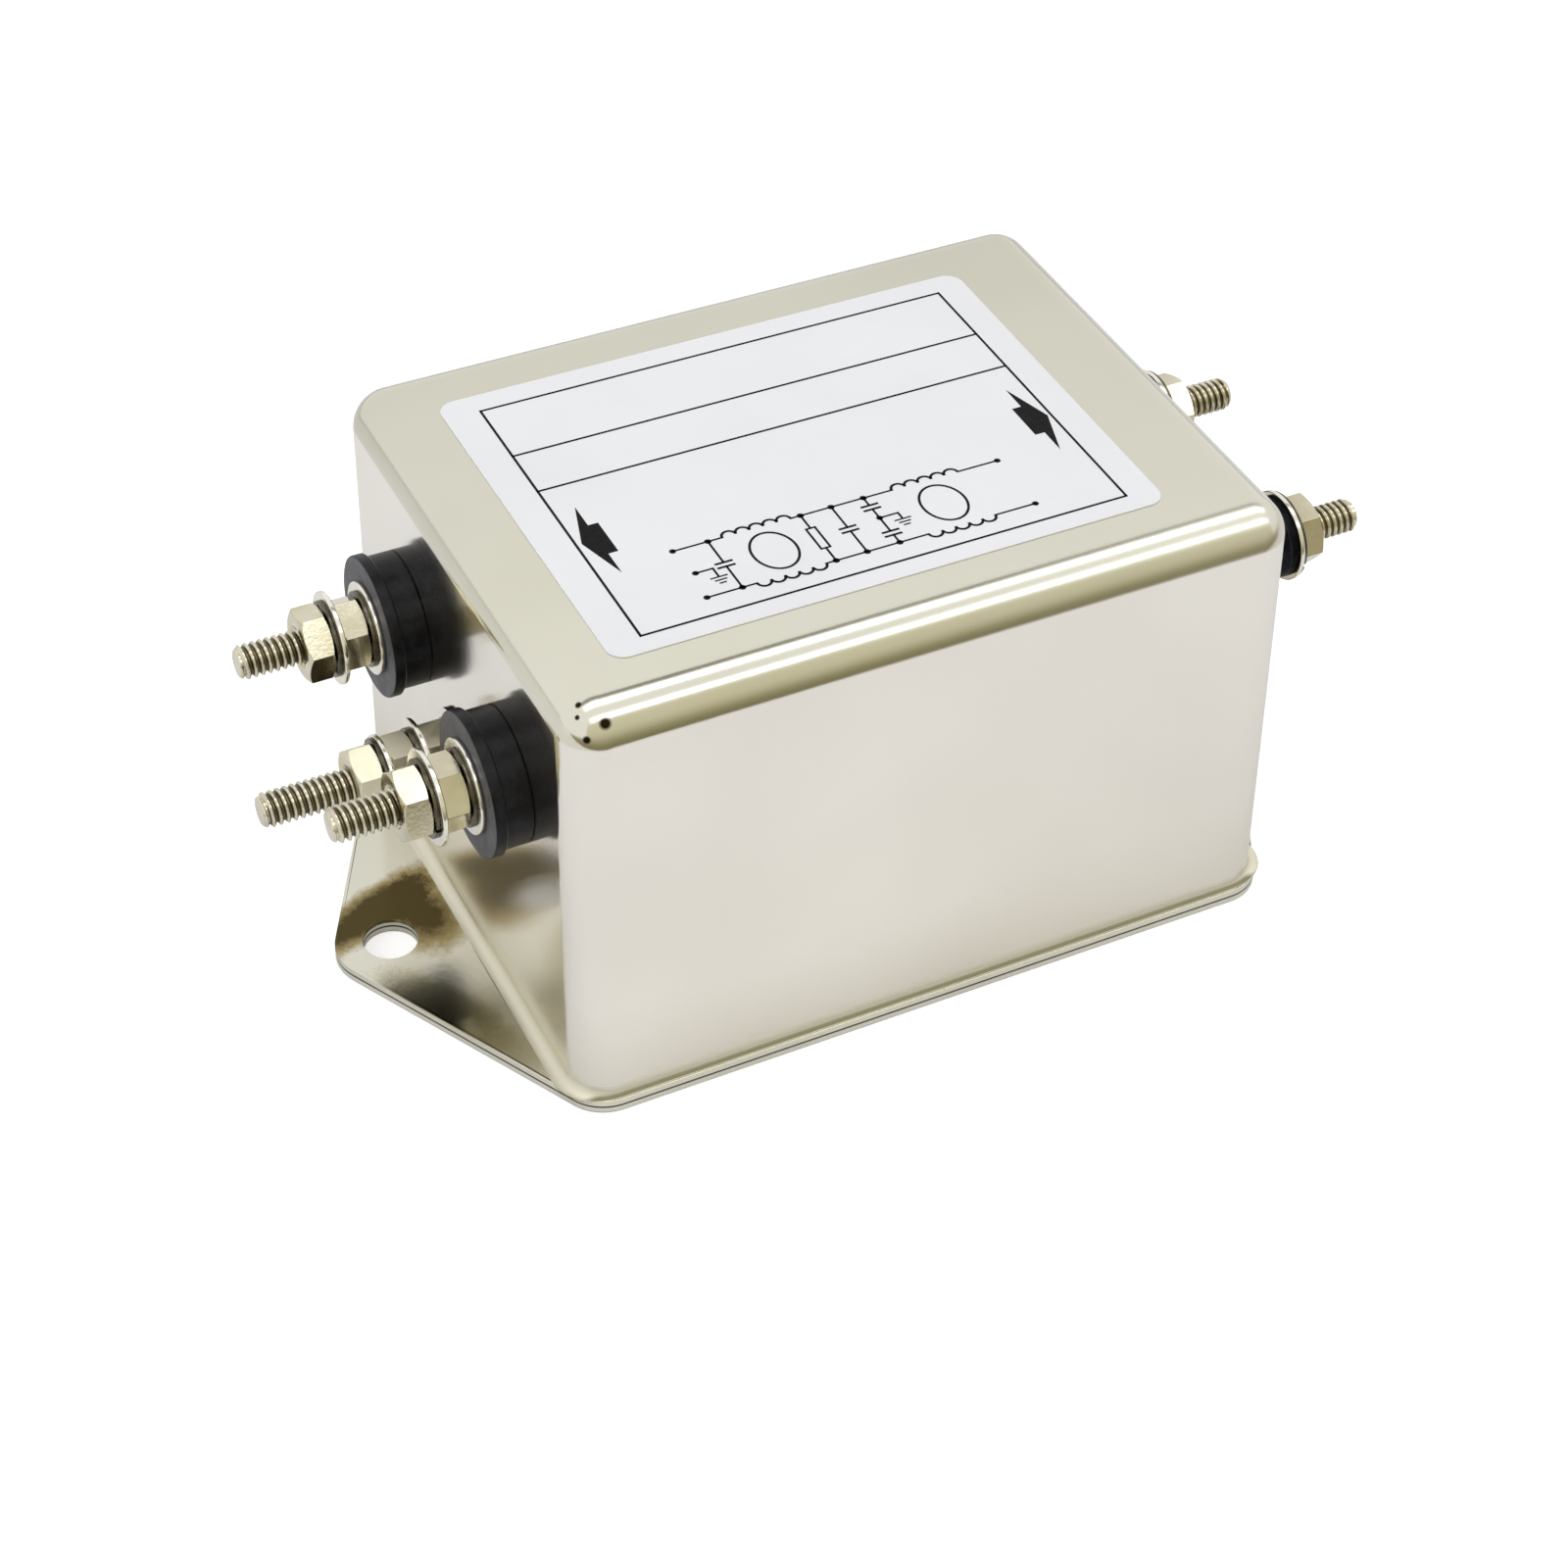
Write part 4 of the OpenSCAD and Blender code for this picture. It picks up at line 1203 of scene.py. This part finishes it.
# %% Dress the pieces
DRESS = [
    ([can], can_finish, "plated_can"),
    ([base], base_finish, "plated_base"),
    ([sticker], sticker_finish, "label"),
    ([sticker_print], ink_finish, "label"),
    ([b for b in bushings if "line" in b.name], line_bushing_finish, "bushing"),
    ([b for b in bushings if "load" in b.name], load_bushing_finish, "bushing"),
    (studs, stud_finish, "stud"),
    ([n for n in nuts if "earth" not in n.name], nut_finish, "nut"),
    ([n for n in nuts if "earth" in n.name], earth_nut_finish, "nut"),
    (flat_washers, washer_finish, "washer"),
    (spring_washers, spring_shade_finish, "spring_washer"),
]
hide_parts("case")
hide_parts("base_plate")
for pieces, material, slot in DRESS:
    for piece in pieces:
        piece.data.materials.clear()
        piece.data.materials.append(material)
        for face in piece.data.polygons:
            face.material_index = 0
        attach(piece, "root")
print("pieces dressed:", sum(len(pieces) for pieces, _, _ in DRESS))

# %% Dark grooves, and the inner parts
GROOVE_R = MID_R - 0.02
for piece in studs:
    end, y, z = TERMINALS[piece.name.removeprefix("stud_")]
    piece.data.materials.append(groove_finish)
    reach = max(abs(vertex.co.x) for vertex in piece.data.vertices) / MM - CAN_X
    for face in piece.data.polygons:
        radius = math.hypot(face.center.y / MM - y, face.center.z / MM - z)
        along_stud = end * face.center.x / MM - CAN_X
        in_groove = 0 < along_stud < reach - TIP_CHAMFER and radius < GROOVE_R
        face.material_index = int(in_groove)

slot_of = {part["node"]: part["material_slot"] for part in frame["record"]["subparts"]}
dressed = 0
for name, obj in frame["nodes"].items():
    material = INNER.get(slot_of[name])
    if material:
        dressed += 1
        for slot in obj.material_slots:
            slot.material = material
print("inner parts dressed:", dressed)

# %% [markdown]
# The studio has a pale floor and two long soft boxes overhead with a gap between them, which
# the rounded edges of the can show as a pair of bright lines. A soft fill from the left lights
# the line end. Bright metal shows what stands round it, so three cards that only gloss sees
# give it its tones: one in front, one on the floor and a small flag overhead. The white behind
# everything is the world's, for rays that come from the camera, from gloss and from glass.

# %% Floor and lights
deselect()
bpy.ops.mesh.primitive_plane_add(size=6.0, location=(0, 0, -0.00002))
floor = bpy.context.active_object
floor.name = "floor"
floor_finish, tree, shader = finish_named("pale floor")
shader.inputs["Base Color"].default_value = (0.93, 0.93, 0.93, 1)
shader.inputs["Roughness"].default_value = 0.9
shader.inputs["Specular IOR Level"].default_value = 0.1
shader.inputs["Emission Color"].default_value = (1, 1, 1, 1)
path = tree.nodes.new("ShaderNodeLightPath")
tree.links.new(calculate(tree, "MULTIPLY", path.outputs["Is Camera Ray"], 0.5),
               shader.inputs["Emission Strength"])
floor.data.materials.append(floor_finish)


def soft_box(name, place_m, target_m, width, height, watts):
    bpy.ops.object.light_add(type="AREA", location=place_m)
    lamp = bpy.context.active_object
    lamp.name = name
    lamp.data.shape = "RECTANGLE"
    lamp.data.size, lamp.data.size_y = width, height
    lamp.data.energy = watts
    aim = Vector(target_m) - Vector(place_m)
    lamp.rotation_euler = aim.to_track_quat("-Z", "Y").to_euler()
    return lamp


soft_box("overhead", (0.35, 0.02, 1.0), (0.35, -0.03, 0.05), 1.7, 0.25, 2.4)
soft_box("overhead_front", (0.35, -0.58, 0.82), (0.35, -0.03, 0.05), 1.7, 0.19, 2.0)
soft_box("left_fill", (-1.2, 0.1, 0.5), (0, 0, 0.03), 0.8, 0.8, 4).visible_glossy = False
print("floor and lights ready")

# %% Cards and world
def card(name, place_m, size_m, tilt, axis, stops):
    """A card that only gloss sees, with a tone that runs along its own axis."""
    deselect()
    bpy.ops.mesh.primitive_plane_add(size=1.0, location=place_m)
    obj = bpy.context.active_object
    obj.name = name
    obj.scale = (*size_m, 1)
    obj.rotation_euler.x = math.radians(tilt)
    bpy.ops.object.transform_apply(location=True, rotation=True, scale=True)
    material, tree, shader = finish_named(name)
    shader.inputs["Base Color"].default_value = (0, 0, 0, 1)
    shader.inputs["Specular IOR Level"].default_value = 0
    shader.inputs["Emission Strength"].default_value = 1
    across = axes(tree, tree.nodes.new("ShaderNodeTexCoord").outputs["Generated"])[axis]
    tree.links.new(ramp(tree, across, stops), shader.inputs["Emission Color"])
    obj.data.materials.append(material)
    obj.visible_camera = False
    obj.visible_shadow = False
    obj.visible_diffuse = False


card("front_card", (0.4, -1.3, 0.65), (3.4, 1.3), 90, "Z",
     [(0.0, (0.55, 0.51, 0.37)), (0.3, (0.72, 0.69, 0.53)), (1.0, (0.80, 0.77, 0.62))])
card("floor_card", (0.4, -0.70, 0.0005), (3.4, 1.2), 0, "Y",
     [(0.0, (0.53, 0.50, 0.36)), (0.75, (0.46, 0.43, 0.30)), (0.92, (0.36, 0.33, 0.20)),
      (0.975, (0.27, 0.24, 0.14)), (1.0, (0.22, 0.19, 0.11))])
card("flag", (0.35, 0.33, 1.0), (1.7, 0.20), 180, "X",
     [(0.0, (0.3, 0.3, 0.27)), (1.0, (0.3, 0.3, 0.27))])

world = bpy.data.worlds.new("studio")
bpy.context.scene.world = world
world.use_nodes = True
tree = world.node_tree
tree.nodes.clear()
path = tree.nodes.new("ShaderNodeLightPath")
seen = 0.0
for ray in ("Camera", "Glossy", "Transmission"):
    seen = calculate(tree, "MAXIMUM", seen, path.outputs[f"Is {ray} Ray"])
ambient = node_of(tree, "ShaderNodeBackground", Color=(1, 1, 1, 1), Strength=0.58)
white = node_of(tree, "ShaderNodeBackground", Color=(1, 1, 1, 1), Strength=1.0)
either = tree.nodes.new("ShaderNodeMixShader")
for source, socket in zip((seen, ambient.outputs[0], white.outputs[0]), either.inputs):
    tree.links.new(source, socket)
out = tree.nodes.new("ShaderNodeOutputWorld")
tree.links.new(either.outputs[0], out.inputs["Surface"])
bpy.context.scene.view_settings.view_transform = "Standard"
print("studio ready")
